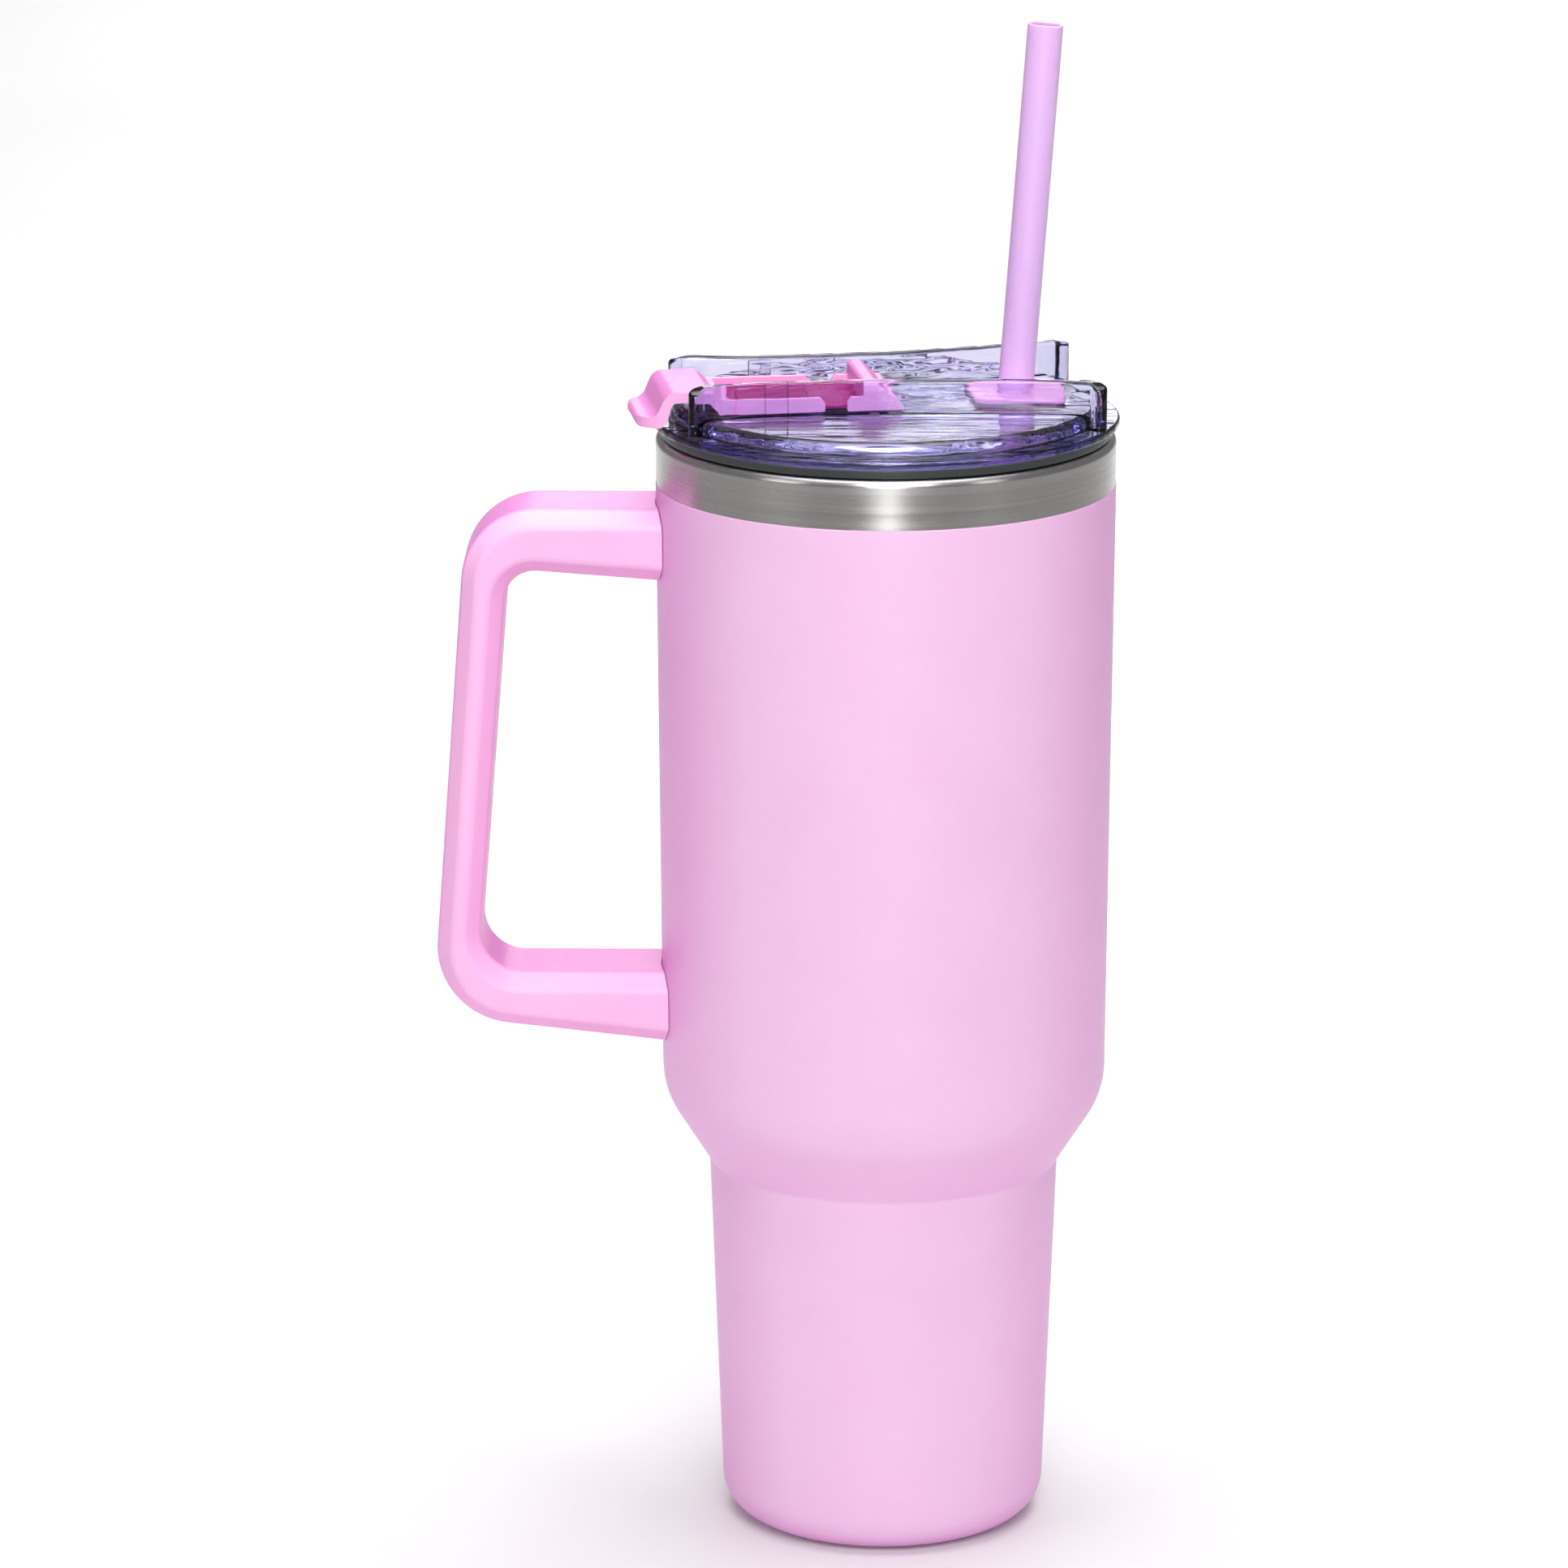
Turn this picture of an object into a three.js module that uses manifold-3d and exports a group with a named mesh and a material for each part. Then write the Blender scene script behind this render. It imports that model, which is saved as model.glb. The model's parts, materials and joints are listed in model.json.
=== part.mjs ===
// Insulated tumbler with a handle, a press-in straw lid and a flip cover.
// Millimetres, +Z up. The origin is the centre of the underside, and the handle points to -X.
import * as THREE from 'three';
import { mergeVertices } from 'three/addons/utils/BufferGeometryUtils.js';
import Module from 'manifold-3d';

const wasm = await Module();
wasm.setup();

// ---------------------------------------------------------------- driving dimensions
const GAP = 0.3; // clearance between touching pieces

// Double-walled body
const BASE_CORNER = 8.5; // radius of the corner between wall and underside
const WALL_FOOT_R = 35.2; // wall radius just above that corner
const NECK_R = 38.0; // radius where the narrow base ends
const NECK_Z = 81.5;
const NECK_FILLET = 2.2;
const SHOULDER_R = 48.1; // radius where the cone would meet the upper wall
const SHOULDER_Z = 97.35;
const SHOULDER_FILLET = 18;
const TOP_R = 49.3; // wall radius at the coat line and above
const COAT_TOP_Z = 232;
const LIP_TOP_Z = 242.6;
const SHEET = 0.6; // thickness of both steel walls
const WALL = 3.4; // whole double wall, from outer face to inner face
const LINER_FLOOR_Z = 7.2; // inner face of the cup's floor
const LINER_CORNER = 8;
const LINER_TOP_Z = 235.6;
const BASE_DISC_R = 22.1;
const VACUUM_BOTTOM_R = 30;
const VACUUM_BOTTOM_Z = 2.3;
const GETTER = { r: 5, thick: 1.6, x: 14 };

// Handle
const HANDLE_WIDTH = 26;
const HANDLE_CHAMFER = 3.4; // in the plane of the handle
const HANDLE_CHAMFER_Y = 3.7; // across the handle
const HANDLE_TOP_Z = 227.6;
const HANDLE_INNER_X = -40; // arm ends before the body trims them
const UPPER_ARM_UNDER_Z = 212.5; // underside of each arm at the screw
const LOWER_ARM_UNDER_Z = 110.3;
const SCREW_X = -57;
const POCKET_END_X = -64; // pocket for the steel bracket in the end of each arm
const POCKET_HALF_Y = 6;
const POCKET_FLOOR = 5.6; // heights from here on are above the arm's underside
const POCKET_CEILING = 12.8;
const HEAD_BORE = 4.1;
const SHANK_BORE_R = 2.3;
const SCREW_HEAD = { r: 3.5, z0: 1.9, z1: 3.8 };
const SCREW_SHANK = { r: 1.9, z0: 3, z1: 12 };
const SCREW_SOCKET = { r: 1.3, z0: 1, z1: 3 };
const PLUG = { r: 3.9, z0: 0.4, z1: 1.6 };

// Lid, in its own frame: x runs along the channel, away from the thumb tab
const LID_TURN = THREE.MathUtils.degToRad(8.6); // how far the lid is turned on the cup
const FLANGE_R = 49.95;
const FLANGE_Z = 244.85;
const FLANGE_TOP_Z = 246.65;
const DECK_R = 45.7;
const DECK_Z = 249.7; // top of the raised deck, which is the floor of the channel
const DECK_THICK = 2;
const SKIRT_R = 44.1;
const SKIRT_THICK = 1.8;
const SKIRT_BOTTOM_Z = 234.5;
const GASKET_RING_R = 48.5; // flat ring between the cup's lip and the flange
const GASKET_FOOT_Z = 236;
const GASKET_FINS_Z = [236.6, 239];
const GASKET_FIN = 0.5; // how far each fin stands out
const FENCE_TOP_Z = 257;
const FENCE_THICK = 2.4;
const FENCE_MID_Y = 16; // outer face of each fence at the middle of the lid
const FENCE_TAB_END = { x: -42.2, y: 17.5 };
const FENCE_STRAW_END = { x: 41, y: 21 };
const FENCE_ROOT = 0.5; // how deep the fences' ends sink into the flange
const RIB = { x0: -28, x1: -23, depth: 0.7, below: 0.8 }; // snap rib beside the flip cover

// Flip cover and its hinge block
const PLATE_TOP_Z = 253;
const PLATE_BOTTOM_Z = DECK_Z + GAP;
const PLATE_HALF_Y = 12.3;
const HINGE_X = -12.6;
const HINGE_Z = 251;
const HINGE_HALF_GAP = 2.4;
const HINGE_WEB = 0.7;
const BLOCK_END_X = 2.2;
const FIN_TOP_Z = 256.3;
const PEG = { x: -4, y: 8, r: 1.6 }; // pegs that hold the hinge block on the deck
const TAB_TOP_Z = 254.85;
const TAB_THICK = 2.2;
const TAB_LIP_Z = 247.2; // underside of the tab's lip
const TAB_HALF_Y = 12.7;
const TAB_END_X = -54.9;
const NOTCH_X = -34; // small notch in each edge of the plate
const WINDOW = { x0: -33, x1: -17, halfY: 6.6, r: 1.5 };
const SIP_HOLE = { x: -26, halfX: 4.6, halfY: 3.2 };
const TRAY = { x0: -36.3, floorZ: 251.35, wall: 1.4 }; // the sunken top of cover and hinge block
const STOPPER_DEPTH = 2.2; // how far the stopper reaches below the deck's top

// Straw, which leans along the channel
const STRAW_R = 3.8;
const STRAW_WALL = 0.8;
const STRAW_AT = { x: 28.2, z: 254 };
const STRAW_LEAN = Math.atan(0.0745);
const STRAW_TOP_Z = 330;
const STRAW_BOTTOM_Z = 14;
const GROMMET_HOLE_R = 7.3;
const GROMMET_PAD = { halfX: 10.3, halfY: 11, r: 4, top: 1.6 };

// ---------------------------------------------------------------- solids
const ROUND = 40; // sides of the body's round pieces

// A closed solid from a geometry: shared vertices merged, faces turned outwards.
function solid(geometry) {
  const bare = geometry.clone();
  bare.deleteAttribute('normal');
  bare.deleteAttribute('uv');
  const merged = mergeVertices(bare, 1e-4);
  const vertProperties = new Float32Array(merged.attributes.position.array);
  const triVerts = new Uint32Array(merged.index.array);
  if (signedVolume(vertProperties, triVerts) < 0) triVerts.reverse();
  return new wasm.Manifold(new wasm.Mesh({ numProp: 3, vertProperties, triVerts }));
}

function signedVolume(positions, triangles) {
  const corner = (i) => new THREE.Vector3().fromArray(positions, 3 * triangles[i]);
  let volume = 0;
  for (let i = 0; i < triangles.length; i += 3) {
    volume += corner(i).dot(corner(i + 1).cross(corner(i + 2))) / 6;
  }
  return volume;
}

function toGeometry(body) {
  const { vertProperties, triVerts } = body.getMesh();
  const geometry = new THREE.BufferGeometry();
  geometry.setAttribute('position', new THREE.BufferAttribute(new Float32Array(vertProperties), 3));
  geometry.setIndex(new THREE.BufferAttribute(new Uint32Array(triVerts), 1));
  geometry.computeVertexNormals();
  return geometry;
}

// A solid of revolution about +Z from a closed outline of (radius, height) points.
function turned(points, sides = ROUND) {
  const geometry = new THREE.LatheGeometry([...points, points[0]], sides);
  return solid(geometry.rotateX(Math.PI / 2));
}

function disc(radius, z0, z1, x = 0, y = 0, sides = 24) {
  const geometry = new THREE.CylinderGeometry(radius, radius, z1 - z0, sides);
  geometry.rotateX(Math.PI / 2);
  return solid(geometry.translate(x, y, (z0 + z1) / 2));
}

function block(x0, x1, y0, y1, z0, z1) {
  const geometry = new THREE.BoxGeometry(x1 - x0, y1 - y0, z1 - z0);
  return solid(geometry.translate((x0 + x1) / 2, (y0 + y1) / 2, (z0 + z1) / 2));
}

// A plan outline in x and y, extruded from z0 to z1.
function slab(shape, z0, z1, curveSegments = 6) {
  const geometry = new THREE.ExtrudeGeometry(shape, { depth: z1 - z0, bevelEnabled: false, curveSegments });
  return solid(geometry.translate(0, 0, z0));
}

// A side outline in x and z, extruded evenly about the plane y = 0.
function sideways(shape, halfY, curveSegments = 6) {
  const geometry = new THREE.ExtrudeGeometry(shape, { depth: 2 * halfY, bevelEnabled: false, curveSegments });
  return solid(geometry.rotateX(Math.PI / 2).translate(0, halfY, 0));
}

const v2 = (x, y) => new THREE.Vector2(x, y);

// A path through vertices {x, y, r}, rounded by an arc of radius r where r is given.
function roundedPath(path, vertices, closed) {
  const count = vertices.length;
  vertices.forEach((vertex, i) => {
    const isEnd = !closed && (i === 0 || i === count - 1);
    if (isEnd || !vertex.r) {
      if (i === 0) path.moveTo(vertex.x, vertex.y);
      else path.lineTo(vertex.x, vertex.y);
      return;
    }
    const here = v2(vertex.x, vertex.y);
    const before = vertices[(i - 1 + count) % count];
    const after = vertices[(i + 1) % count];
    const back = v2(before.x, before.y).sub(here).normalize();
    const ahead = v2(after.x, after.y).sub(here).normalize();
    const half = Math.acos(THREE.MathUtils.clamp(back.dot(ahead), -1, 1)) / 2;
    const reach = vertex.r / Math.tan(half);
    const inwards = back.clone().add(ahead).normalize();
    const centre = inwards.multiplyScalar(vertex.r / Math.sin(half)).add(here);
    const start = back.multiplyScalar(reach).add(here);
    const end = ahead.multiplyScalar(reach).add(here);
    const from = start.clone().sub(centre).angle();
    const to = end.clone().sub(centre).angle();
    const turn = (to - from + 3 * Math.PI) % (2 * Math.PI) - Math.PI;
    if (i === 0) path.moveTo(start.x, start.y);
    else path.lineTo(start.x, start.y);
    path.absarc(centre.x, centre.y, vertex.r, from, to, turn < 0);
  });
  if (closed) path.closePath();
  return path;
}

function roundedShape(vertices) {
  return roundedPath(new THREE.Shape(), vertices, true);
}

function roundedRectangle(x0, x1, y0, y1, r) {
  return roundedShape([
    { x: x0, y: y0, r },
    { x: x1, y: y0, r },
    { x: x1, y: y1, r },
    { x: x0, y: y1, r },
  ]);
}

// Repeated points are left out, because a closed outline may not hold any.
function distinct(points) {
  return points.filter((p, i) => i === 0 || p.distanceTo(points[i - 1]) > 1e-3);
}

// The open outline moved sideways by a distance, to its left when that is positive.
function offset(points, distance) {
  return points.map((p, i) => {
    const before = points[Math.max(i - 1, 0)];
    const after = points[Math.min(i + 1, points.length - 1)];
    const into = i > 0 ? p.clone().sub(before).normalize() : after.clone().sub(p).normalize();
    const out = i < points.length - 1 ? after.clone().sub(p).normalize() : into.clone();
    const normal = v2(-into.y - out.y, into.x + out.x).normalize();
    const stretch = 1 / Math.max(normal.dot(v2(-into.y, into.x)), 0.5);
    return p.clone().addScaledVector(normal, distance * stretch);
  });
}

// ---------------------------------------------------------------- body
// The body's outer face as (radius, height) points, from the underside up to the coat line.
function bodyOutline() {
  const path = roundedPath(new THREE.Path(), [
    { x: BASE_DISC_R + GAP, y: 0 },
    { x: WALL_FOOT_R - 0.3, y: 0, r: BASE_CORNER },
    { x: NECK_R, y: NECK_Z, r: NECK_FILLET },
    { x: SHOULDER_R, y: SHOULDER_Z, r: SHOULDER_FILLET },
    { x: TOP_R, y: COAT_TOP_Z },
  ], false);
  return distinct(path.getPoints(2));
}

function outerShell() {
  const outside = bodyOutline();
  const inside = offset(outside, SHEET).reverse();
  return turned([...outside, ...inside]);
}

// The bare top of the outer wall, rolled over into the lip and down to meet the liner.
function rimBand() {
  const lipR = WALL / 2;
  const lipCentre = v2(TOP_R - lipR, LIP_TOP_Z - lipR);
  const arc = (radius, from, to, steps) => Array.from({ length: steps + 1 }, (_, i) => {
    const angle = from + (to - from) * i / steps;
    return v2(lipCentre.x + radius * Math.cos(angle), lipCentre.y + radius * Math.sin(angle));
  });
  return turned([
    v2(TOP_R, COAT_TOP_Z + GAP),
    ...arc(lipR, 0, Math.PI, 6),
    v2(TOP_R - WALL, LINER_TOP_Z + GAP),
    v2(TOP_R - WALL + SHEET, LINER_TOP_Z + GAP),
    ...arc(lipR - SHEET, Math.PI, 0, 4),
    v2(TOP_R - SHEET, COAT_TOP_Z + GAP),
  ]);
}

// The inner wall and the cup's floor, parallel to the outer wall.
function innerLiner() {
  const top = v2(TOP_R, LINER_TOP_Z);
  const wall = offset([...bodyOutline(), top], WALL - SHEET)
    .filter((p) => p.y > LINER_FLOOR_Z + LINER_CORNER);
  const foot = wall[0];
  const corner = roundedPath(new THREE.Path(), [
    { x: 0, y: LINER_FLOOR_Z - SHEET },
    { x: WALL_FOOT_R - WALL + SHEET, y: LINER_FLOOR_Z - SHEET, r: LINER_CORNER },
    { x: foot.x, y: foot.y },
  ], false);
  const outside = distinct([...corner.getPoints(2), ...wall.slice(1)]);
  const inside = offset(outside, SHEET).reverse();
  inside[inside.length - 1].x = 0;
  inside[0].y = LINER_TOP_Z;
  outside[outside.length - 1].y = LINER_TOP_Z;
  return turned([...outside, ...inside]);
}

// The dished plate that closes the vacuum, between the underside and the cup's floor.
function vacuumBottom() {
  const z = VACUUM_BOTTOM_Z;
  const topZ = z + 2.6;
  const outside = [v2(0, z), v2(VACUUM_BOTTOM_R - 1.5, z), v2(VACUUM_BOTTOM_R, topZ)];
  const inside = [v2(VACUUM_BOTTOM_R - 0.9, topZ), v2(VACUUM_BOTTOM_R - 2.2, z + SHEET), v2(0, z + SHEET)];
  return turned([...outside, ...inside]);
}

function getterPellet() {
  const z = VACUUM_BOTTOM_Z + SHEET + GAP;
  return disc(GETTER.r, z, z + GETTER.thick, GETTER.x);
}

// The disc in the middle of the underside, whose wider top sits behind the outer wall.
function baseDisc() {
  const step = SHEET + GAP;
  const wideR = BASE_DISC_R + 2;
  const topZ = VACUUM_BOTTOM_Z - GAP;
  return turned([
    v2(0, 0), v2(BASE_DISC_R, 0), v2(BASE_DISC_R, step), v2(wideR, step), v2(wideR, topZ), v2(0, topZ),
  ]);
}

// ---------------------------------------------------------------- handle
// The body's outer face with the fitting gap, as one solid plug up to the coat line.
function bodyEnvelope() {
  const outside = offset(bodyOutline(), -GAP);
  return turned([v2(0, outside[0].y), ...outside, v2(0, COAT_TOP_Z)]);
}

// Side outline of the C handle. Its grip leans out towards the bottom.
function handleOutline() {
  return roundedShape([
    { x: HANDLE_INNER_X, y: HANDLE_TOP_Z },
    { x: -89.6, y: HANDLE_TOP_Z, r: 16.5 },
    { x: -97.9, y: 115, r: 17 },
    { x: HANDLE_INNER_X, y: 108.5 },
    { x: HANDLE_INNER_X, y: 125 },
    { x: -88, y: 125, r: 9 },
    { x: -80.9, y: 214.3, r: 6.5 },
    { x: HANDLE_INNER_X, y: 211.2 },
  ]);
}

// Room in the end of an arm for its bracket, screw and plug.
function handlePocket(underZ) {
  const floor = underZ + POCKET_FLOOR;
  const ceiling = underZ + POCKET_CEILING;
  const pocket = block(POCKET_END_X, HANDLE_INNER_X, -POCKET_HALF_Y, POCKET_HALF_Y, floor, ceiling);
  const headBore = disc(PLUG.r + GAP, underZ - 3, underZ + HEAD_BORE, SCREW_X);
  const shankBore = disc(SHANK_BORE_R, underZ, floor + 1, SCREW_X, 0, 12);
  return pocket.add(headBore).add(shankBore);
}

function handle(envelope) {
  const geometry = new THREE.ExtrudeGeometry(handleOutline(), {
    depth: HANDLE_WIDTH - 2 * HANDLE_CHAMFER_Y,
    bevelThickness: HANDLE_CHAMFER_Y,
    bevelSize: HANDLE_CHAMFER,
    bevelOffset: -HANDLE_CHAMFER,
    bevelSegments: 1,
    curveSegments: 7,
  });
  geometry.rotateX(Math.PI / 2).translate(0, HANDLE_WIDTH / 2 - HANDLE_CHAMFER_Y, 0);
  return solid(geometry)
    .subtract(envelope)
    .subtract(handlePocket(UPPER_ARM_UNDER_Z))
    .subtract(handlePocket(LOWER_ARM_UNDER_Z));
}

function handleBracket(underZ, envelope) {
  const half = POCKET_HALF_Y - GAP;
  const floor = underZ + POCKET_FLOOR + GAP;
  const ceiling = underZ + POCKET_CEILING - GAP;
  const bar = block(POCKET_END_X + 1, HANDLE_INNER_X, -half, half, floor, ceiling);
  const screwHole = disc(SHANK_BORE_R, floor - 1, ceiling + 1, SCREW_X, 0, 12);
  return bar.subtract(envelope).subtract(screwHole);
}

function handleScrew(underZ) {
  const part = ({ r, z0, z1 }, sides) => disc(r, underZ + z0, underZ + z1, SCREW_X, 0, sides);
  return part(SCREW_HEAD, 24).add(part(SCREW_SHANK, 12)).subtract(part(SCREW_SOCKET, 6));
}

function screwPlug(underZ) {
  return disc(PLUG.r, underZ + PLUG.z0, underZ + PLUG.z1, SCREW_X);
}

// ---------------------------------------------------------------- lid
// A sleeve round the lid's skirt with two fins, and a flat ring that rests on the cup's lip.
function lidGasket() {
  const inside = SKIRT_R + GAP;
  const outside = TOP_R - WALL - GAP;
  const sleeve = outside - GASKET_FIN;
  const ringZ = LIP_TOP_Z + GAP;
  const ringTopZ = FLANGE_Z - GAP;
  const fin = (z) => [v2(sleeve, z), v2(outside, z + 0.5), v2(outside, z + 1), v2(sleeve, z + 1.6)];
  return turned([
    v2(inside, GASKET_FOOT_Z),
    v2(sleeve, GASKET_FOOT_Z),
    ...GASKET_FINS_Z.flatMap(fin),
    v2(sleeve, ringZ - 1),
    v2(TOP_R - WALL + 0.2, ringZ),
    v2(GASKET_RING_R, ringZ),
    v2(GASKET_RING_R, ringTopZ),
    v2(inside, ringTopZ),
  ]);
}

// Flange, raised deck and inner skirt: a cap that is open underneath.
function lidCap() {
  const edge = 0.35;
  const deckEdge = 0.7;
  const innerR = SKIRT_R - SKIRT_THICK;
  return turned([
    v2(0, DECK_Z - DECK_THICK),
    v2(innerR, DECK_Z - DECK_THICK),
    v2(innerR, SKIRT_BOTTOM_Z),
    v2(SKIRT_R, SKIRT_BOTTOM_Z),
    v2(SKIRT_R, FLANGE_Z),
    v2(FLANGE_R - edge, FLANGE_Z),
    v2(FLANGE_R, FLANGE_Z + edge),
    v2(FLANGE_R, FLANGE_TOP_Z - edge),
    v2(FLANGE_R - edge, FLANGE_TOP_Z),
    v2(DECK_R + deckEdge, FLANGE_TOP_Z),
    v2(DECK_R, DECK_Z - deckEdge),
    v2(DECK_R - deckEdge, DECK_Z),
    v2(0, DECK_Z),
  ]);
}

// Plan outline of one fence: a curved wall that stands closer to the middle than its ends do.
function fencePlan(side) {
  const centreLine = new THREE.QuadraticBezierCurve(
    v2(FENCE_TAB_END.x, FENCE_TAB_END.y),
    v2(-8, 2 * FENCE_MID_Y - (FENCE_TAB_END.y + FENCE_STRAW_END.y) / 2),
    v2(FENCE_STRAW_END.x, FENCE_STRAW_END.y),
  );
  const outer = centreLine.getPoints(12);
  const inner = offset(outer, -FENCE_THICK).reverse();
  return new THREE.Shape([...outer, ...inner].map((p) => v2(p.x, side * p.y)));
}

// Side outline of the fences, with rounded top corners; its ends stand on the flange.
function fenceProfile() {
  return roundedShape([
    { x: FENCE_TAB_END.x, y: FLANGE_TOP_Z - FENCE_ROOT },
    { x: FENCE_STRAW_END.x, y: FLANGE_TOP_Z - FENCE_ROOT },
    { x: FENCE_STRAW_END.x, y: FENCE_TOP_Z, r: 2 },
    { x: FENCE_TAB_END.x, y: FENCE_TOP_Z, r: 1.6 },
  ]);
}

function fence(side) {
  const wall = slab(fencePlan(side), FLANGE_TOP_Z - FENCE_ROOT, FENCE_TOP_Z);
  return wall.intersect(sideways(fenceProfile(), 30));
}

// Low upright ribs on the fences' inner faces, beside the flip cover.
function snapRib(side) {
  const face = side * (FENCE_MID_Y - FENCE_THICK - RIB.depth);
  const root = side * (FENCE_MID_Y - FENCE_THICK + FENCE_ROOT);
  const [y0, y1] = [face, root].sort((a, b) => a - b);
  return block(RIB.x0, RIB.x1, y0, y1, DECK_Z - 1, FENCE_TOP_Z - RIB.below);
}

function lidShell() {
  const capCavity = disc(SKIRT_R - SKIRT_THICK, SKIRT_BOTTOM_Z, DECK_Z - DECK_THICK, 0, 0, ROUND);
  const body = lidCap()
    .add(fence(1)).add(fence(-1))
    .add(snapRib(1)).add(snapRib(-1))
    .subtract(capCavity);
  const clearX = SIP_HOLE.halfX + 2.5 * GAP;
  const clearY = SIP_HOLE.halfY + 2 * GAP;
  const sip = roundedRectangle(SIP_HOLE.x - clearX, SIP_HOLE.x + clearX, -clearY, clearY, 3);
  const through = [DECK_Z - DECK_THICK - 1, DECK_Z + 1];
  return body
    .subtract(slab(sip, ...through))
    .subtract(disc(GROMMET_HOLE_R, ...through, STRAW_AT.x))
    .subtract(pegs(PEG.r + GAP, ...through));
}

// ---------------------------------------------------------------- flip cover
// Two pegs under the hinge block, standing in holes through the deck.
function pegs(radius, z0, z1) {
  const peg = (y) => disc(radius, z0, z1, PEG.x, y, 16);
  return peg(PEG.y).add(peg(-PEG.y));
}

// What the sunken top leaves out between two places along the plate. It runs through the hinge.
function trayRoom(x0, x1) {
  const halfY = PLATE_HALF_Y - TRAY.wall;
  return slab(roundedRectangle(x0, x1, -halfY, halfY, 0.8), TRAY.floorZ, FIN_TOP_Z + 1, 3);
}

// The fixed block: a low plate with a fin across it, which stops the opened cover.
function flapBase() {
  const left = HINGE_X + HINGE_HALF_GAP;
  const finX = left + 3.5;
  const corner = 1;
  const side = roundedShape([
    { x: left, y: PLATE_BOTTOM_Z },
    { x: BLOCK_END_X, y: PLATE_BOTTOM_Z },
    { x: BLOCK_END_X - 1.7, y: PLATE_TOP_Z, r: 1.2 },
    { x: finX + 5.9, y: PLATE_TOP_Z, r: 0.8 },
    { x: finX + 2.5, y: FIN_TOP_Z, r: 1 },
    { x: finX, y: FIN_TOP_Z - 0.3, r: 0.8 },
    { x: finX, y: PLATE_TOP_Z },
    { x: left + corner, y: PLATE_TOP_Z },
    { x: left, y: PLATE_TOP_Z - corner },
  ]);
  return sideways(side, PLATE_HALF_Y, 3)
    .subtract(trayRoom(left - 3, finX))
    .add(pegs(PEG.r, DECK_Z - DECK_THICK - 2 * GAP, PLATE_BOTTOM_Z + 1));
}

function livingHinge() {
  const half = HINGE_HALF_GAP - GAP;
  const halfY = PLATE_HALF_Y - 0.5;
  const halfWeb = HINGE_WEB / 2;
  return block(HINGE_X - half, HINGE_X + half, -halfY, halfY, HINGE_Z - halfWeb, HINGE_Z + halfWeb);
}

// Side outline of the cover: flat plate, step up to the thumb tab, then an S down to its lip.
function coverProfile() {
  const right = HINGE_X - HINGE_HALF_GAP;
  const under = TAB_TOP_Z - TAB_THICK;
  const lipTop = TAB_LIP_Z + TAB_THICK;
  return roundedShape([
    { x: right, y: PLATE_BOTTOM_Z },
    { x: right, y: PLATE_TOP_Z - 1 },
    { x: right - 1, y: PLATE_TOP_Z },
    { x: -37.4, y: PLATE_TOP_Z, r: 1 },
    { x: -39.6, y: TAB_TOP_Z, r: 1 },
    { x: -48.6, y: TAB_TOP_Z, r: 2.6 },
    { x: -51, y: lipTop, r: 2.2 },
    { x: TAB_END_X, y: lipTop, r: 0.8 },
    { x: TAB_END_X, y: TAB_LIP_Z, r: 0.8 },
    { x: -49.1, y: TAB_LIP_Z, r: 2 },
    { x: -47.4, y: under, r: 1 },
    { x: -40, y: under, r: 1 },
    { x: -38, y: PLATE_BOTTOM_Z, r: 0.6 },
  ]);
}

// Plan outline of the cover: a straight plate and a wide tab with a rounded lip.
function coverPlan() {
  const right = HINGE_X - HINGE_HALF_GAP;
  const halfPlan = [
    { x: right + 1, y: PLATE_HALF_Y },
    { x: NOTCH_X + 0.5, y: PLATE_HALF_Y },
    { x: NOTCH_X, y: PLATE_HALF_Y - 1 },
    { x: NOTCH_X - 0.5, y: PLATE_HALF_Y },
    { x: -38, y: PLATE_HALF_Y, r: 0.6 },
    { x: -39, y: TAB_HALF_Y, r: 0.6 },
    { x: TAB_END_X, y: TAB_HALF_Y, r: 7.5 },
  ];
  const mirrored = halfPlan.map((p) => ({ ...p, y: -p.y })).reverse();
  return roundedShape([...halfPlan, ...mirrored]);
}

function flipCover() {
  const plate = sideways(coverProfile(), TAB_HALF_Y + 1, 4);
  const plan = slab(coverPlan(), PLATE_BOTTOM_Z - 5, TAB_TOP_Z + 1, 8);
  const opening = roundedRectangle(WINDOW.x0, WINDOW.x1, -WINDOW.halfY, WINDOW.halfY, WINDOW.r);
  return plate.intersect(plan)
    .subtract(trayRoom(TRAY.x0, HINGE_X))
    .subtract(slab(opening, DECK_Z, PLATE_TOP_Z + 1, 3));
}

// A soft panel set into the cover's window, with the stopper for the sip hole under it.
function sipPlug() {
  const panelY = WINDOW.halfY - GAP;
  const panel = roundedRectangle(WINDOW.x0 + GAP, WINDOW.x1 - GAP, -panelY, panelY, WINDOW.r - GAP);
  const { x, halfX, halfY } = SIP_HOLE;
  const stopper = roundedRectangle(x - halfX, x + halfX, -halfY, halfY, 2.4);
  return slab(panel, PLATE_BOTTOM_Z, TRAY.floorZ, 3)
    .add(slab(stopper, DECK_Z - STOPPER_DEPTH, PLATE_BOTTOM_Z + 1, 3));
}

// ---------------------------------------------------------------- straw and its grommet
// A tube or rod along the straw's leaning axis, cut level at z0 and z1.
function leaningRod(radius, z0, z1, sides) {
  const height = 2 * STRAW_TOP_Z;
  const geometry = new THREE.CylinderGeometry(radius, radius, height, sides);
  geometry.rotateX(Math.PI / 2).rotateY(STRAW_LEAN).translate(STRAW_AT.x, 0, STRAW_AT.z);
  return solid(geometry).intersect(block(-60, 90, -20, 20, z0, z1));
}

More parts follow.
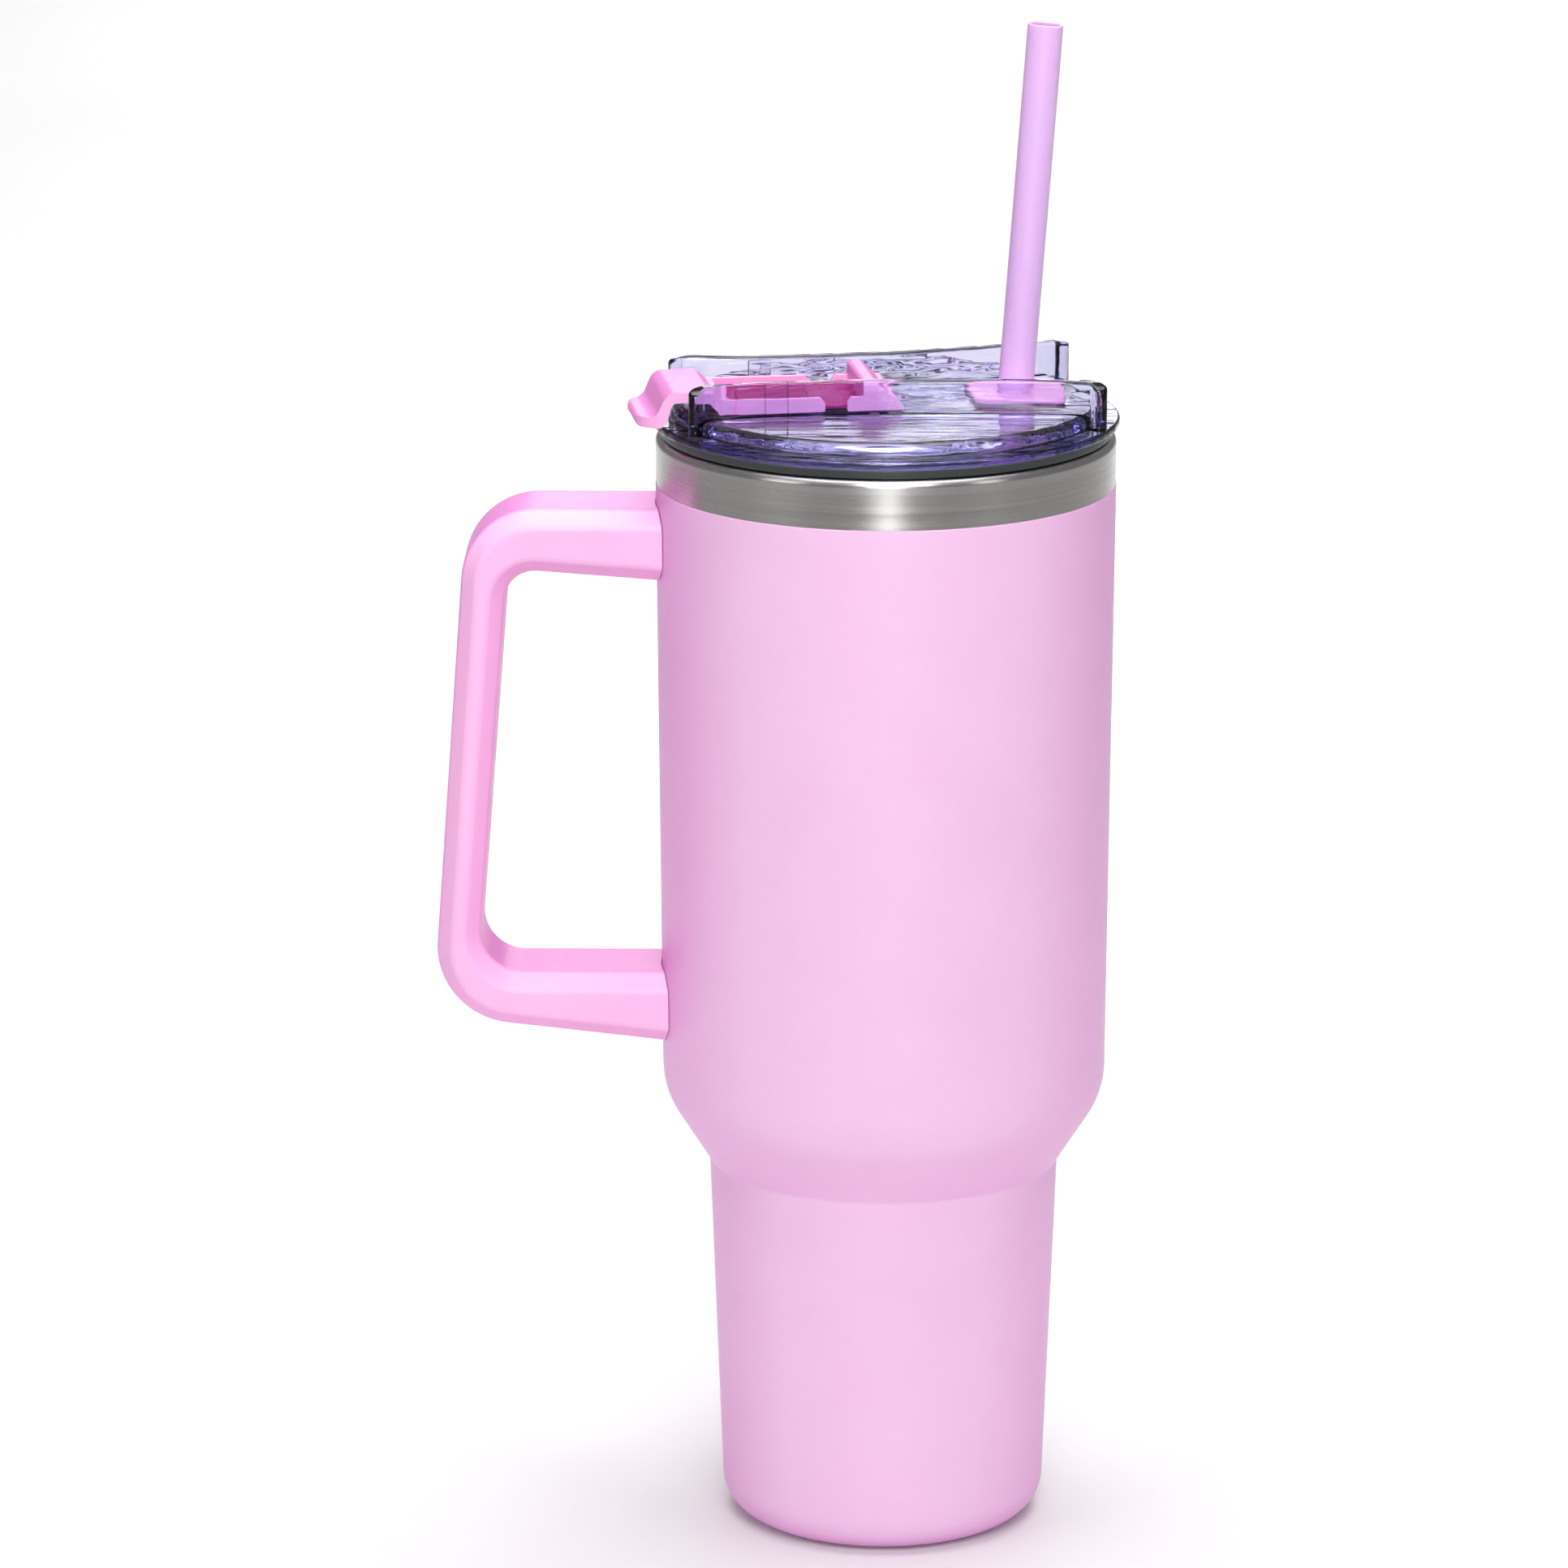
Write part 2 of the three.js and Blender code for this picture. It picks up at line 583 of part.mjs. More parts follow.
function straw() {
  const bore = leaningRod(STRAW_R - STRAW_WALL, STRAW_BOTTOM_Z - 2, STRAW_TOP_Z + 2, 20);
  return leaningRod(STRAW_R, STRAW_BOTTOM_Z, STRAW_TOP_Z, 20).subtract(bore);
}

// A soft pad on the deck, a neck through its hole and a locking ring below.
function strawGrommet() {
  const { x } = STRAW_AT;
  const { halfX, halfY, r, top } = GROMMET_PAD;
  const lockTop = DECK_Z - DECK_THICK - GAP;
  const pad = slab(roundedRectangle(x - halfX, x + halfX, -halfY, halfY, r), DECK_Z + GAP, DECK_Z + top, 4);
  const neck = disc(GROMMET_HOLE_R - GAP, lockTop - 2.7, DECK_Z + 1, x);
  const lock = disc(GROMMET_HOLE_R + 1.4, lockTop - 2, lockTop, x);
  const bore = leaningRod(STRAW_R + GAP, DECK_Z - 10, DECK_Z + 10, 20);
  return pad.add(neck).add(lock).subtract(bore);
}

// ---------------------------------------------------------------- assembly
const FINISHES = {
  coat: { color: 0xf0c4ea, roughness: 0.6, metalness: 0 },
  moulded: { color: 0xf5b8ea, roughness: 0.4, metalness: 0 },
  steel: { color: 0xb9b7b6, roughness: 0.35, metalness: 1 },
  clear: { color: 0x8f86c8, roughness: 0.08, metalness: 0, transparent: true, opacity: 0.4 },
  gasket: { color: 0x5b5f60, roughness: 0.4, metalness: 0 },
  soft: { color: 0xe08ac8, roughness: 0.55, metalness: 0 },
  straw: { color: 0xe6b4f4, roughness: 0.35, metalness: 0 },
};
const MATERIALS = Object.fromEntries(
  Object.entries(FINISHES).map(([name, finish]) => [name, new THREE.MeshStandardMaterial(finish)]),
);

function piece(name, body, finish) {
  const mesh = new THREE.Mesh(toGeometry(body), MATERIALS[finish]);
  mesh.name = name;
  return mesh;
}

const envelope = bodyEnvelope();

const cup = new THREE.Group();
cup.add(piece('outer_shell', outerShell(), 'coat'));
cup.add(piece('rim_band', rimBand(), 'steel'));
cup.add(piece('inner_liner', innerLiner(), 'steel'));
cup.add(piece('vacuum_bottom', vacuumBottom(), 'steel'));
cup.add(piece('getter_pellet', getterPellet(), 'steel'));
cup.add(piece('base_disc', baseDisc(), 'steel'));
cup.add(piece('handle', handle(envelope), 'moulded'));
for (const [place, underZ] of [['upper', UPPER_ARM_UNDER_Z], ['lower', LOWER_ARM_UNDER_Z]]) {
  cup.add(piece(`handle_bracket_${place}`, handleBracket(underZ, envelope), 'steel'));
  cup.add(piece(`handle_screw_${place}`, handleScrew(underZ), 'steel'));
  cup.add(piece(`screw_plug_${place}`, screwPlug(underZ), 'moulded'));
}

const lid = new THREE.Group();
lid.rotation.z = LID_TURN;
lid.add(piece('lid_gasket', lidGasket(), 'gasket'));
lid.add(piece('lid_shell', lidShell(), 'clear'));
lid.add(piece('flap_base', flapBase(), 'moulded'));
lid.add(piece('living_hinge', livingHinge(), 'moulded'));
lid.add(piece('flip_cover', flipCover(), 'moulded'));
lid.add(piece('sip_plug', sipPlug(), 'soft'));
lid.add(piece('straw_grommet', strawGrommet(), 'soft'));
lid.add(piece('straw', straw(), 'straw'));

const tumbler = new THREE.Group();
tumbler.add(cup, lid);

export default tumbler;
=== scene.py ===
"""Looks for the insulated tumbler: smooth pieces, materials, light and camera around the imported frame."""
import json
import math

import bmesh
import bpy
from mathutils import Matrix, Vector


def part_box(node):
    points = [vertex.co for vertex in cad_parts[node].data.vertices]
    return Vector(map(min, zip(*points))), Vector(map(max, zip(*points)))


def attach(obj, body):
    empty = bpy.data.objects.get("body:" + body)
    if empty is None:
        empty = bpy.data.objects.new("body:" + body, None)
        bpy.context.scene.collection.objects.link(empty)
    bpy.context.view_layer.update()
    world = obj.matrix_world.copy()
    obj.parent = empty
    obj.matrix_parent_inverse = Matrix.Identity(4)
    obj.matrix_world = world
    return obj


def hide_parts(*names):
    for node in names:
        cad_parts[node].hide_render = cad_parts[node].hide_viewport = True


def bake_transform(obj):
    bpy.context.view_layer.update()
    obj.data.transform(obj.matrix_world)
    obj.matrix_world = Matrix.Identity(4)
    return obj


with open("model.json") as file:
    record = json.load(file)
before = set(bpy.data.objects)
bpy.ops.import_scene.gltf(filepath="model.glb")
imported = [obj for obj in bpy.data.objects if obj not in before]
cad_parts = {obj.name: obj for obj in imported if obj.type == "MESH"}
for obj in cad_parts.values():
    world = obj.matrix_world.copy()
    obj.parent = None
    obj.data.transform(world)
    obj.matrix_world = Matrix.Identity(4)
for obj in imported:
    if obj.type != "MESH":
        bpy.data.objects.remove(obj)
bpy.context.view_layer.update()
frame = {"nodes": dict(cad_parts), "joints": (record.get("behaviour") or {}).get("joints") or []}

MM = 0.001
ROUND = 192  # sides of the large round pieces
SMALL_ROUND = 64
GAP = 0.15 * MM  # between pieces that touch

# ---------------------------------------------------------------- sizes, from the frame
NODES = {name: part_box(name) for name in frame["nodes"]}
JOINTS = {joint["name"]: joint for joint in frame["joints"]}

TOP_R = NODES["outer_shell"][1].x
COAT_TOP_Z = NODES["outer_shell"][1].z
LIP_TOP_Z = NODES["rim_band"][1].z
BASE_DISC_R = NODES["base_disc"][1].x - 2 * MM
HANDLE_HIGH = NODES["handle"][1]
FLANGE_R = NODES["lid_shell"][1].y
FENCE_TOP_Z = NODES["lid_shell"][1].z
SKIRT_BOTTOM_Z = NODES["lid_shell"][0].z
HINGE_AT = Vector(JOINTS["cover_hinge"]["pos_m"])
HINGE_AXIS = Vector(JOINTS["cover_hinge"]["axis"])
LID_TURN = math.atan2(-HINGE_AXIS.x, HINGE_AXIS.y)
LID = Matrix.Rotation(LID_TURN, 4, "Z")  # from the lid's own frame, x along its channel, to the row's
HINGE_X = (LID.inverted() @ HINGE_AT).x
STRAW_AXIS = Vector(JOINTS["straw_slide"]["axis"])

# Double wall, as in the CAD solids
SHEET = 0.6 * MM
WALL = 3.4 * MM
NECK_R, NECK_Z = 38.0 * MM, 81.5 * MM
SHOULDER_R, SHOULDER_Z = 48.1 * MM, 97.35 * MM
FOOT_R = 34.9 * MM
LINER_FLOOR_Z = 7.2 * MM

# Lid levels and walls
DECK_Z = 249.7 * MM
DECK_R = 45.7 * MM
FLANGE_Z = 244.85 * MM
FLANGE_TOP_Z = 246.65 * MM
SKIRT_R = 44.1 * MM
PLATE_TOP_Z = 253 * MM
PLATE_BOTTOM_Z = 250 * MM
PLATE_HALF_Y = 12.3 * MM
HINGE_HALF_GAP = 2.4 * MM
STRAW_X = 28.2 * MM  # where the straw passes the lid, in the lid's own frame
FOLD_CHAMFER = 1 * MM  # lets the two plates fold up beside the hinge without touching


# ---------------------------------------------------------------- meshes
def add_object(name, mesh):
    piece = bpy.data.objects.new(name, mesh)
    bpy.context.scene.collection.objects.link(piece)
    return piece


def rounded(corners, closed=True, steps=10):
    """The outline through (x, y) and (x, y, radius) corners, with an arc wherever a radius is given."""
    points = []
    count = len(corners)
    for i, corner in enumerate(corners):
        here = Vector(corner[:2])
        end = not closed and i in (0, count - 1)
        if end or len(corner) < 3:
            points.append(here)
            continue
        back = (Vector(corners[i - 1][:2]) - here).normalized()
        ahead = (Vector(corners[(i + 1) % count][:2]) - here).normalized()
        half = math.acos(max(-1, min(1, back.dot(ahead)))) / 2
        centre = here + (back + ahead).normalized() * corner[2] / math.sin(half)
        start = here + back * corner[2] / math.tan(half) - centre
        sweep = start.angle_signed(here + ahead * corner[2] / math.tan(half) - centre)
        for step in range(steps + 1):
            turned = start.copy()
            turned.rotate(Matrix.Rotation(-sweep * step / steps, 2))
            points.append(centre + turned)
    return points


def offset(points, distance, closed=False):
    """The outline moved sideways, to its left when the distance is positive."""
    moved = []
    count = len(points)
    for i, here in enumerate(points):
        before = points[i - 1] if closed or i > 0 else None
        after = points[(i + 1) % count] if closed or i < count - 1 else None
        into = (here - before).normalized() if before is not None else (after - here).normalized()
        out = (after - here).normalized() if after is not None else into
        side = Vector((-into.y - out.y, into.x + out.x)).normalized()
        stretch = 1 / max(side.dot(Vector((-into.y, into.x))), 0.5)
        moved.append(here + side * distance * stretch)
    return moved


def mesh_from(build):
    """A mesh made by a function that fills a bmesh, with its faces turned outwards."""
    work = bmesh.new()
    build(work)
    bmesh.ops.remove_doubles(work, verts=work.verts, dist=1e-7)
    bmesh.ops.recalc_face_normals(work, faces=work.faces)
    mesh = bpy.data.meshes.new("mesh")
    work.to_mesh(mesh)
    work.free()
    return mesh


def lathe(name, outline, sides=ROUND, centre=(0, 0)):
    """A solid of revolution about +Z from a closed outline of (radius, height) points."""
    def build(work):
        rings = []
        for radius, z in outline:
            if radius < 1e-6:
                rings.append([work.verts.new((centre[0], centre[1], z))])
                continue
            angles = [2 * math.pi * k / sides for k in range(sides)]
            rings.append([
                work.verts.new((centre[0] + radius * math.cos(a), centre[1] + radius * math.sin(a), z))
                for a in angles
            ])
        for low, high in zip(rings, rings[1:] + rings[:1]):
            if len(low) == 1 and len(high) == 1:
                continue
            for k in range(sides):
                n = k + 1
                corners = [low[k % len(low)], low[n % len(low)], high[n % len(high)], high[k % len(high)]]
                work.faces.new(list(dict.fromkeys(corners)))
    return add_object(name, mesh_from(build))


def prism(name, outline, low, high, along="z"):
    """An outline extruded from low to high: in the x-y plane along z, or in the x-z plane along y."""
    def place(point, level):
        return (point.x, point.y, level) if along == "z" else (point.x, level, point.y)

    def build(work):
        floor = [work.verts.new(place(p, low)) for p in outline]
        roof = [work.verts.new(place(p, high)) for p in outline]
        work.faces.new(floor)
        work.faces.new(roof)
        for k in range(len(outline)):
            n = (k + 1) % len(outline)
            work.faces.new((floor[k], floor[n], roof[n], roof[k]))
    return add_object(name, mesh_from(build))


def rectangle(x0, x1, y0, y1, radius):
    return rounded([(x0, y0, radius), (x1, y0, radius), (x1, y1, radius), (x0, y1, radius)])


def applied(piece):
    """The piece with its modifiers made part of its mesh."""
    graph = bpy.context.evaluated_depsgraph_get()
    mesh = bpy.data.meshes.new_from_object(piece.evaluated_get(graph))
    piece.modifiers.clear()
    piece.data = mesh
    return piece


def combine(piece, tool, operation):
    """The piece joined with, cut by or kept inside a tool piece, which is used up."""
    cut = piece.modifiers.new("cut", "BOOLEAN")
    cut.operation = operation
    cut.solver = "EXACT"
    cut.object = tool
    applied(piece)
    bpy.data.objects.remove(tool)
    return piece


def bevel(piece, width, segments=3, angle=32):
    edges = piece.modifiers.new("edges", "BEVEL")
    edges.width = width
    edges.segments = segments
    edges.limit_method = "ANGLE"
    edges.angle_limit = math.radians(angle)
    edges.miter_outer = "MITER_ARC"
    return applied(piece)


def shade(piece, angle=38):
    """Smooth faces that still break at sharp edges, with flat faces kept flat beside their bevels."""
    piece.data.polygons.foreach_set("use_smooth", [True] * len(piece.data.polygons))
    piece.data.set_sharp_from_angle(angle=math.radians(angle))
    normals = piece.modifiers.new("normals", "WEIGHTED_NORMAL")
    normals.keep_sharp = True
    return applied(piece)


def finish_piece(piece, body, material, slot, *nodes):
    """Gives a finished piece its material and its body, and hides the CAD nodes that it stands for."""
    piece.data.materials.clear()
    piece.data.materials.append(material)
    if body:
        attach(piece, body)
    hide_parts(*nodes)
    return piece


def in_lid(piece):
    """Turns a piece built in the lid's own frame to where the lid stands."""
    piece.data.transform(LID)
    return piece


# ---------------------------------------------------------------- materials
def linear(*srgb):
    """A colour of 0 to 255 as Blender's linear numbers."""
    steps = [c / 255 for c in srgb]
    return (*[s / 12.92 if s <= 0.04045 else ((s + 0.055) / 1.055) ** 2.4 for s in steps], 1)


class Finish:
    """A material around one Principled shader, with short ways to add noise to it."""

    def __init__(self, name, colour, roughness, **sockets):
        self.material = bpy.data.materials.new(name)
        self.material.use_nodes = True
        self.tree = self.material.node_tree
        self.shader = self.tree.nodes["Principled BSDF"]
        self.output = self.tree.nodes["Material Output"]
        self.colour = colour
        self.shader.inputs["Base Color"].default_value = colour
        self.shader.inputs["Roughness"].default_value = roughness
        for socket, value in sockets.items():
            self.shader.inputs[socket.replace("_", " ")].default_value = value

    def node(self, kind, **values):
        node = self.tree.nodes.new(kind)
        for name, value in values.items():
            if hasattr(node, name):
                setattr(node, name, value)
            else:
                node.inputs[name.replace("_", " ")].default_value = value
        return node

    def link(self, source, target):
        self.tree.links.new(source, target)

    def noise(self, scale, detail=2.0, stretch=(1, 1, 1)):
        """Noise over the piece's own metres, stretched per axis."""
        place = self.node("ShaderNodeTexCoord")
        mapping = self.node("ShaderNodeMapping", Scale=stretch)
        noise = self.node("ShaderNodeTexNoise", Scale=scale, Detail=detail)
        self.link(place.outputs["Object"], mapping.inputs["Vector"])
        self.link(mapping.outputs["Vector"], noise.inputs["Vector"])
        return noise.outputs["Fac"]

    def span(self, value, low, high):
        """A noise value of about 0.3 to 0.7 spread to low and high."""
        spread = self.node("ShaderNodeMapRange", From_Min=0.3, From_Max=0.7, To_Min=low, To_Max=high)
        self.link(value, spread.inputs["Value"])
        return spread.outputs["Result"]

    def vary_colour(self, value, darker):
        """The base colour, multiplied down to darker where the noise is low."""
        shadow = (*[c * d for c, d in zip(self.colour[:3], darker)], 1)
        mix = self.node("ShaderNodeMix", data_type="RGBA")
        mix.inputs[6].default_value = shadow
        mix.inputs[7].default_value = self.colour
        self.link(self.span(value, 0, 1), mix.inputs[0])
        self.link(mix.outputs[2], self.shader.inputs["Base Color"])

    def paint_edge_shade(self, tint):
        """Painted edge shade: the colour, multiplied by a darker tint where the surface turns away from the
        view.
        """
        before = self.shader.inputs["Base Color"].links[0].from_socket
        turned = self.node("ShaderNodeLayerWeight", Blend=0.5)
        spread = self.node("ShaderNodeMapRange", From_Min=0.25, From_Max=0.85)
        mix = self.node("ShaderNodeMix", data_type="RGBA", blend_type="MULTIPLY")
        mix.inputs[7].default_value = tint
        self.link(turned.outputs["Facing"], spread.inputs["Value"])
        self.link(spread.outputs["Result"], mix.inputs[0])
        self.link(before, mix.inputs[6])
        self.link(mix.outputs[2], self.shader.inputs["Base Color"])

    def vary_roughness(self, value, low, high):
        self.link(self.span(value, low, high), self.shader.inputs["Roughness"])

    def brush_round(self, amount):
        """Stretches highlights as brushing round the z axis does."""
        self.shader.inputs["Anisotropic"].default_value = amount
        self.shader.inputs["Anisotropic Rotation"].default_value = 0.25
        tangent = self.node("ShaderNodeTangent", direction_type="RADIAL", axis="Z")
        self.link(tangent.outputs["Tangent"], self.shader.inputs["Tangent"])

    def bump(self, value, depth, strength=1.0):
        """Relief of a depth in metres."""
        relief = self.node("ShaderNodeBump", Strength=strength, Distance=depth)
        self.link(value, relief.inputs["Height"])
        if self.shader.inputs["Normal"].is_linked:
            first = self.shader.inputs["Normal"].links[0].from_socket
            self.link(first, relief.inputs["Normal"])
        self.link(relief.outputs["Normal"], self.shader.inputs["Normal"])


def powder_coat():
    """Matt powder coat: a fine orange peel with a dusting of finer grain."""
    finish = Finish("powder coat", linear(237, 191, 229), 0.45, Coat_Weight=0.5, Coat_Roughness=0.45)
    finish.vary_colour(finish.noise(60, 3), (0.985, 0.96, 0.98))
    # painted shade: the coat turns a darker, deeper pink towards its outline
    finish.paint_edge_shade((0.95, 0.66, 0.92, 1))
    finish.vary_roughness(finish.noise(900, 2), 0.41, 0.5)
    finish.bump(finish.noise(1100, 2), 0.03 * MM, 0.5)
    finish.bump(finish.noise(4200, 1), 0.012 * MM, 0.4)
    return finish.material


def moulded_plastic(name, colour, roughness=0.36, shine=0.5):
    """Satin moulded plastic, with a fine spark texture and slight swirls in the colour."""
    finish = Finish(name, colour, roughness, Subsurface_Weight=0.12, Subsurface_Scale=0.002)
    finish.shader.inputs["Specular IOR Level"].default_value = shine
    finish.shader.inputs["Subsurface Radius"].default_value = (1.0, 0.55, 0.85)
    finish.vary_colour(finish.noise(45, 2, (1, 1, 0.5)), (0.985, 0.955, 0.98))
    # painted shade: the plastic turns a darker, deeper pink towards its outline
    finish.paint_edge_shade((0.93, 0.6, 0.9, 1))
    finish.vary_roughness(finish.noise(700, 2), roughness - 0.04, roughness + 0.05)
    finish.bump(finish.noise(2600, 2), 0.012 * MM, 0.5)
    return finish.material


def brushed_steel():
    """Stainless steel brushed round the body, so its streaks run level."""
    finish = Finish("brushed steel", (0.57, 0.55, 0.54, 1), 0.27, Metallic=1)
    finish.brush_round(0.75)
    streaks = finish.noise(1, 3, (22, 22, 5200))
    bands = finish.noise(1, 2, (6, 6, 900))
    finish.vary_colour(streaks, (0.86, 0.86, 0.87))
    finish.vary_roughness(bands, 0.22, 0.33)
    finish.bump(streaks, 0.004 * MM, 0.6)
    return finish.material


def satin_steel():
    """Electropolished steel of the liner and the hidden fixings."""
    finish = Finish("satin steel", (0.79, 0.78, 0.77, 1), 0.34, Metallic=1)
    lines = finish.noise(1, 2, (30, 30, 1400))
    finish.vary_colour(finish.noise(80, 3), (0.92, 0.92, 0.93))
    finish.vary_roughness(lines, 0.28, 0.4)
    finish.bump(lines, 0.003 * MM, 0.4)
    return finish.material


def base_steel():
    """The underside's disc, brushed in rings."""
    finish = Finish("ring brushed steel", (0.6, 0.59, 0.58, 1), 0.32, Metallic=1)
    finish.brush_round(0.6)
    place = finish.node("ShaderNodeTexCoord")
    flat = finish.node("ShaderNodeVectorMath", operation="MULTIPLY")
    flat.inputs[1].default_value = (1, 1, 0)
    radius = finish.node("ShaderNodeVectorMath", operation="LENGTH")
    rings = finish.node("ShaderNodeTexNoise", noise_dimensions="1D", Scale=4200, Detail=3)
    finish.link(place.outputs["Object"], flat.inputs[0])
    finish.link(flat.outputs["Vector"], radius.inputs[0])
    finish.link(radius.outputs["Value"], rings.inputs["W"])
    finish.vary_colour(rings.outputs["Fac"], (0.85, 0.85, 0.86))
    finish.bump(rings.outputs["Fac"], 0.004 * MM, 0.6)
    return finish.material


def silicone(name, colour, roughness, shine=0.5):
    """Soft silicone: slightly cloudy, with a fine moulded grain."""
    finish = Finish(name, colour, roughness, Subsurface_Weight=0.2, Subsurface_Scale=0.0015)
    finish.shader.inputs["Specular IOR Level"].default_value = shine
    finish.vary_colour(finish.noise(120, 2), (0.93, 0.93, 0.94))
    finish.vary_roughness(finish.noise(900, 2), roughness - 0.05, roughness + 0.06)
    finish.bump(finish.noise(2200, 1), 0.01 * MM, 0.4)
    return finish.material


def clear_plastic():
    """Clear plastic, slightly wavy, whose violet-blue tint deepens with the plastic that light crosses."""
    finish = Finish("clear plastic", (1, 1, 1, 1), 0.02, Transmission_Weight=1, IOR=1.5)
    finish.vary_roughness(finish.noise(35, 2), 0.01, 0.03)
    finish.bump(finish.noise(70, 1, (1, 1, 2.5)), 0.12 * MM, 0.35)
    finish.bump(finish.noise(1, 2, (30, 240, 240)), 0.6 * MM, 0.8)
    tint = finish.node("ShaderNodeVolumeAbsorption", Color=(0.28, 0.22, 0.7, 1), Density=200)
    finish.link(tint.outputs["Volume"], finish.output.inputs["Volume"])
    return finish.material


def straw_plastic():
    """Translucent extruded plastic, with faint lines drawn along the tube."""
    finish = Finish("straw plastic", linear(228, 184, 237), 0.32)
    finish.shader.inputs["Subsurface Weight"].default_value = 0.35
    finish.shader.inputs["Subsurface Scale"].default_value = 0.003
    lines = finish.noise(1, 2, (2600, 2600, 12))
    finish.vary_colour(finish.noise(1, 2, (300, 300, 6)), (0.97, 0.95, 0.985))
    finish.vary_roughness(lines, 0.28, 0.38)
    finish.bump(lines, 0.006 * MM, 0.4)
    return finish.material


def floor_finish():
    finish = Finish("pale floor", (0.87, 0.87, 0.87, 1), 0.7)
    finish.vary_roughness(finish.noise(4, 2), 0.65, 0.8)
    return finish.material


COAT = powder_coat()
HANDLE_PLASTIC = moulded_plastic("handle plastic", linear(246, 186, 229))
COVER_PLASTIC = moulded_plastic("cover plastic", linear(240, 172, 222), 0.34)
# a deep magenta cover plastic that paints the shade inside the cover's sunken tray and in the hinge gap
PAINTED_SHADE_PLASTIC = moulded_plastic("cover plastic in painted shade", linear(168, 34, 122), 0.5, 0.12)
STEEL = brushed_steel()
LINER_STEEL = satin_steel()
BASE_STEEL = base_steel()
GASKET = silicone("gasket silicone", linear(50, 54, 55), 0.34)
# the sip plug's silicone, deepened to magenta as painted shade of the tray around it
SEAL_PINK_PAINTED_SHADE = silicone("pink silicone in painted shade", linear(158, 30, 112), 0.55, 0.12)
GROMMET_PINK = silicone("grommet silicone", linear(228, 160, 214), 0.4)
CLEAR = clear_plastic()
STRAW = straw_plastic()


# ---------------------------------------------------------------- double-walled body
def wall_outline():
    """The outer face as (radius, height) points, from the underside up to the coat line."""
    return rounded([
        (BASE_DISC_R + GAP, 0),
        (FOOT_R, 0, 8.5 * MM),
        (NECK_R, NECK_Z, 2.2 * MM),
        (SHOULDER_R, SHOULDER_Z, 18 * MM),
        (TOP_R, COAT_TOP_Z),
    ], closed=False, steps=14)


def coated_wall():
    """The outer sheet, from its hole for the underside's disc up to the coat line."""
    outside = wall_outline()
    edge = 0.25 * MM
    outside[-1:] = [Vector((TOP_R, COAT_TOP_Z - edge)), Vector((TOP_R - edge, COAT_TOP_Z))]
    inside = offset(wall_outline(), SHEET)
    piece = lathe("body_wall", outside + inside[::-1])
    return finish_piece(shade(piece), "cup", COAT, "powder_coat", "outer_shell")


def arc_angles(start, end, steps):
    return [start + (end - start) * k / steps for k in range(steps + 1)]


def arc(centre, radius, start, end, steps):
    return [
        centre + Vector((radius * math.cos(a), radius * math.sin(a)))
        for a in arc_angles(start, end, steps)
    ]


def rolled_rim():
    """The bare steel above the coat, rolled over into the drinking lip."""
    lip = WALL / 2
    steel_r = TOP_R - 0.12 * MM
    centre = Vector((TOP_R - lip, LIP_TOP_Z - lip))
    low, liner_top = COAT_TOP_Z + 0.02 * MM, NODES["inner_liner"][1].z + GAP
    outline = [Vector((steel_r, low)), Vector((steel_r, centre.y - 2 * MM))]
    outline += arc(centre, lip, 0, math.pi, 16)
    outline += [Vector((TOP_R - WALL, liner_top)), Vector((TOP_R - WALL + SHEET, liner_top))]
    outline += arc(centre, lip - SHEET, math.pi, 0, 12)
    outline.append(Vector((TOP_R - SHEET, low)))
    piece = lathe("steel_rim", outline)
    return finish_piece(shade(piece), "cup", STEEL, "brushed_rim", "rim_band")


def inner_wall():
    """The inner cup: a rounded floor and a wall that follows the outer one."""
    top = NODES["inner_liner"][1].z
    corner = 8 * MM
    wall = offset(wall_outline()[:-1] + [Vector((TOP_R, top))], WALL - SHEET)
    wall = [p for p in wall if p.y > LINER_FLOOR_Z + corner]
    floor = rounded([
        (0, LINER_FLOOR_Z - SHEET), (wall[0].x - 0.5 * MM, LINER_FLOOR_Z - SHEET, corner), tuple(wall[0]),
    ], closed=False)
    outside = floor[:-1] + wall
    inside = offset(outside, SHEET)[::-1]
    inside[-1].x = 0
    piece = lathe("inner_wall", outside + inside)
    return finish_piece(shade(piece), "cup", LINER_STEEL, "liner_steel", "inner_liner")


def underside_disc():
    """The flush disc of the underside, with a shallow ring groove and a small centre mark from spinning."""
    high = NODES["base_disc"][1]
    wide = high.x
    groove = 0.25 * MM
    outline = rounded([
        (0, groove), (0.8 * MM, groove), (1.2 * MM, 0),
        (BASE_DISC_R - 3.2 * MM, 0), (BASE_DISC_R - 2.9 * MM, groove),
        (BASE_DISC_R - 2.3 * MM, groove), (BASE_DISC_R - 2 * MM, 0),
        (BASE_DISC_R, 0, 0.3 * MM), (BASE_DISC_R, SHEET + GAP), (wide, SHEET + GAP),
        (wide, high.z), (0, high.z),
    ], steps=4)
    piece = lathe("underside_disc", outline)
    return finish_piece(shade(piece), "cup", BASE_STEEL, "brushed_rim", "base_disc")


# ---------------------------------------------------------------- handle
HANDLE_CHAMFER = 3.4 * MM
HANDLE_CHAMFER_Y = 3.7 * MM


def handle_outline():
    """Side outline of the C handle. Its grip leans out towards the bottom."""
    top = HANDLE_HIGH.z
    inner_x = -40 * MM
    return rounded([
        (inner_x, top),
        (-89.6 * MM, top, 16.5 * MM),
        (-97.9 * MM, 115 * MM, 17 * MM),
        (inner_x, 108.5 * MM),
        (inner_x, 125 * MM),
        (-88 * MM, 125 * MM, 9 * MM),
        (-80.9 * MM, 214.3 * MM, 6.5 * MM),
        (inner_x, 211.2 * MM),
    ], steps=18)


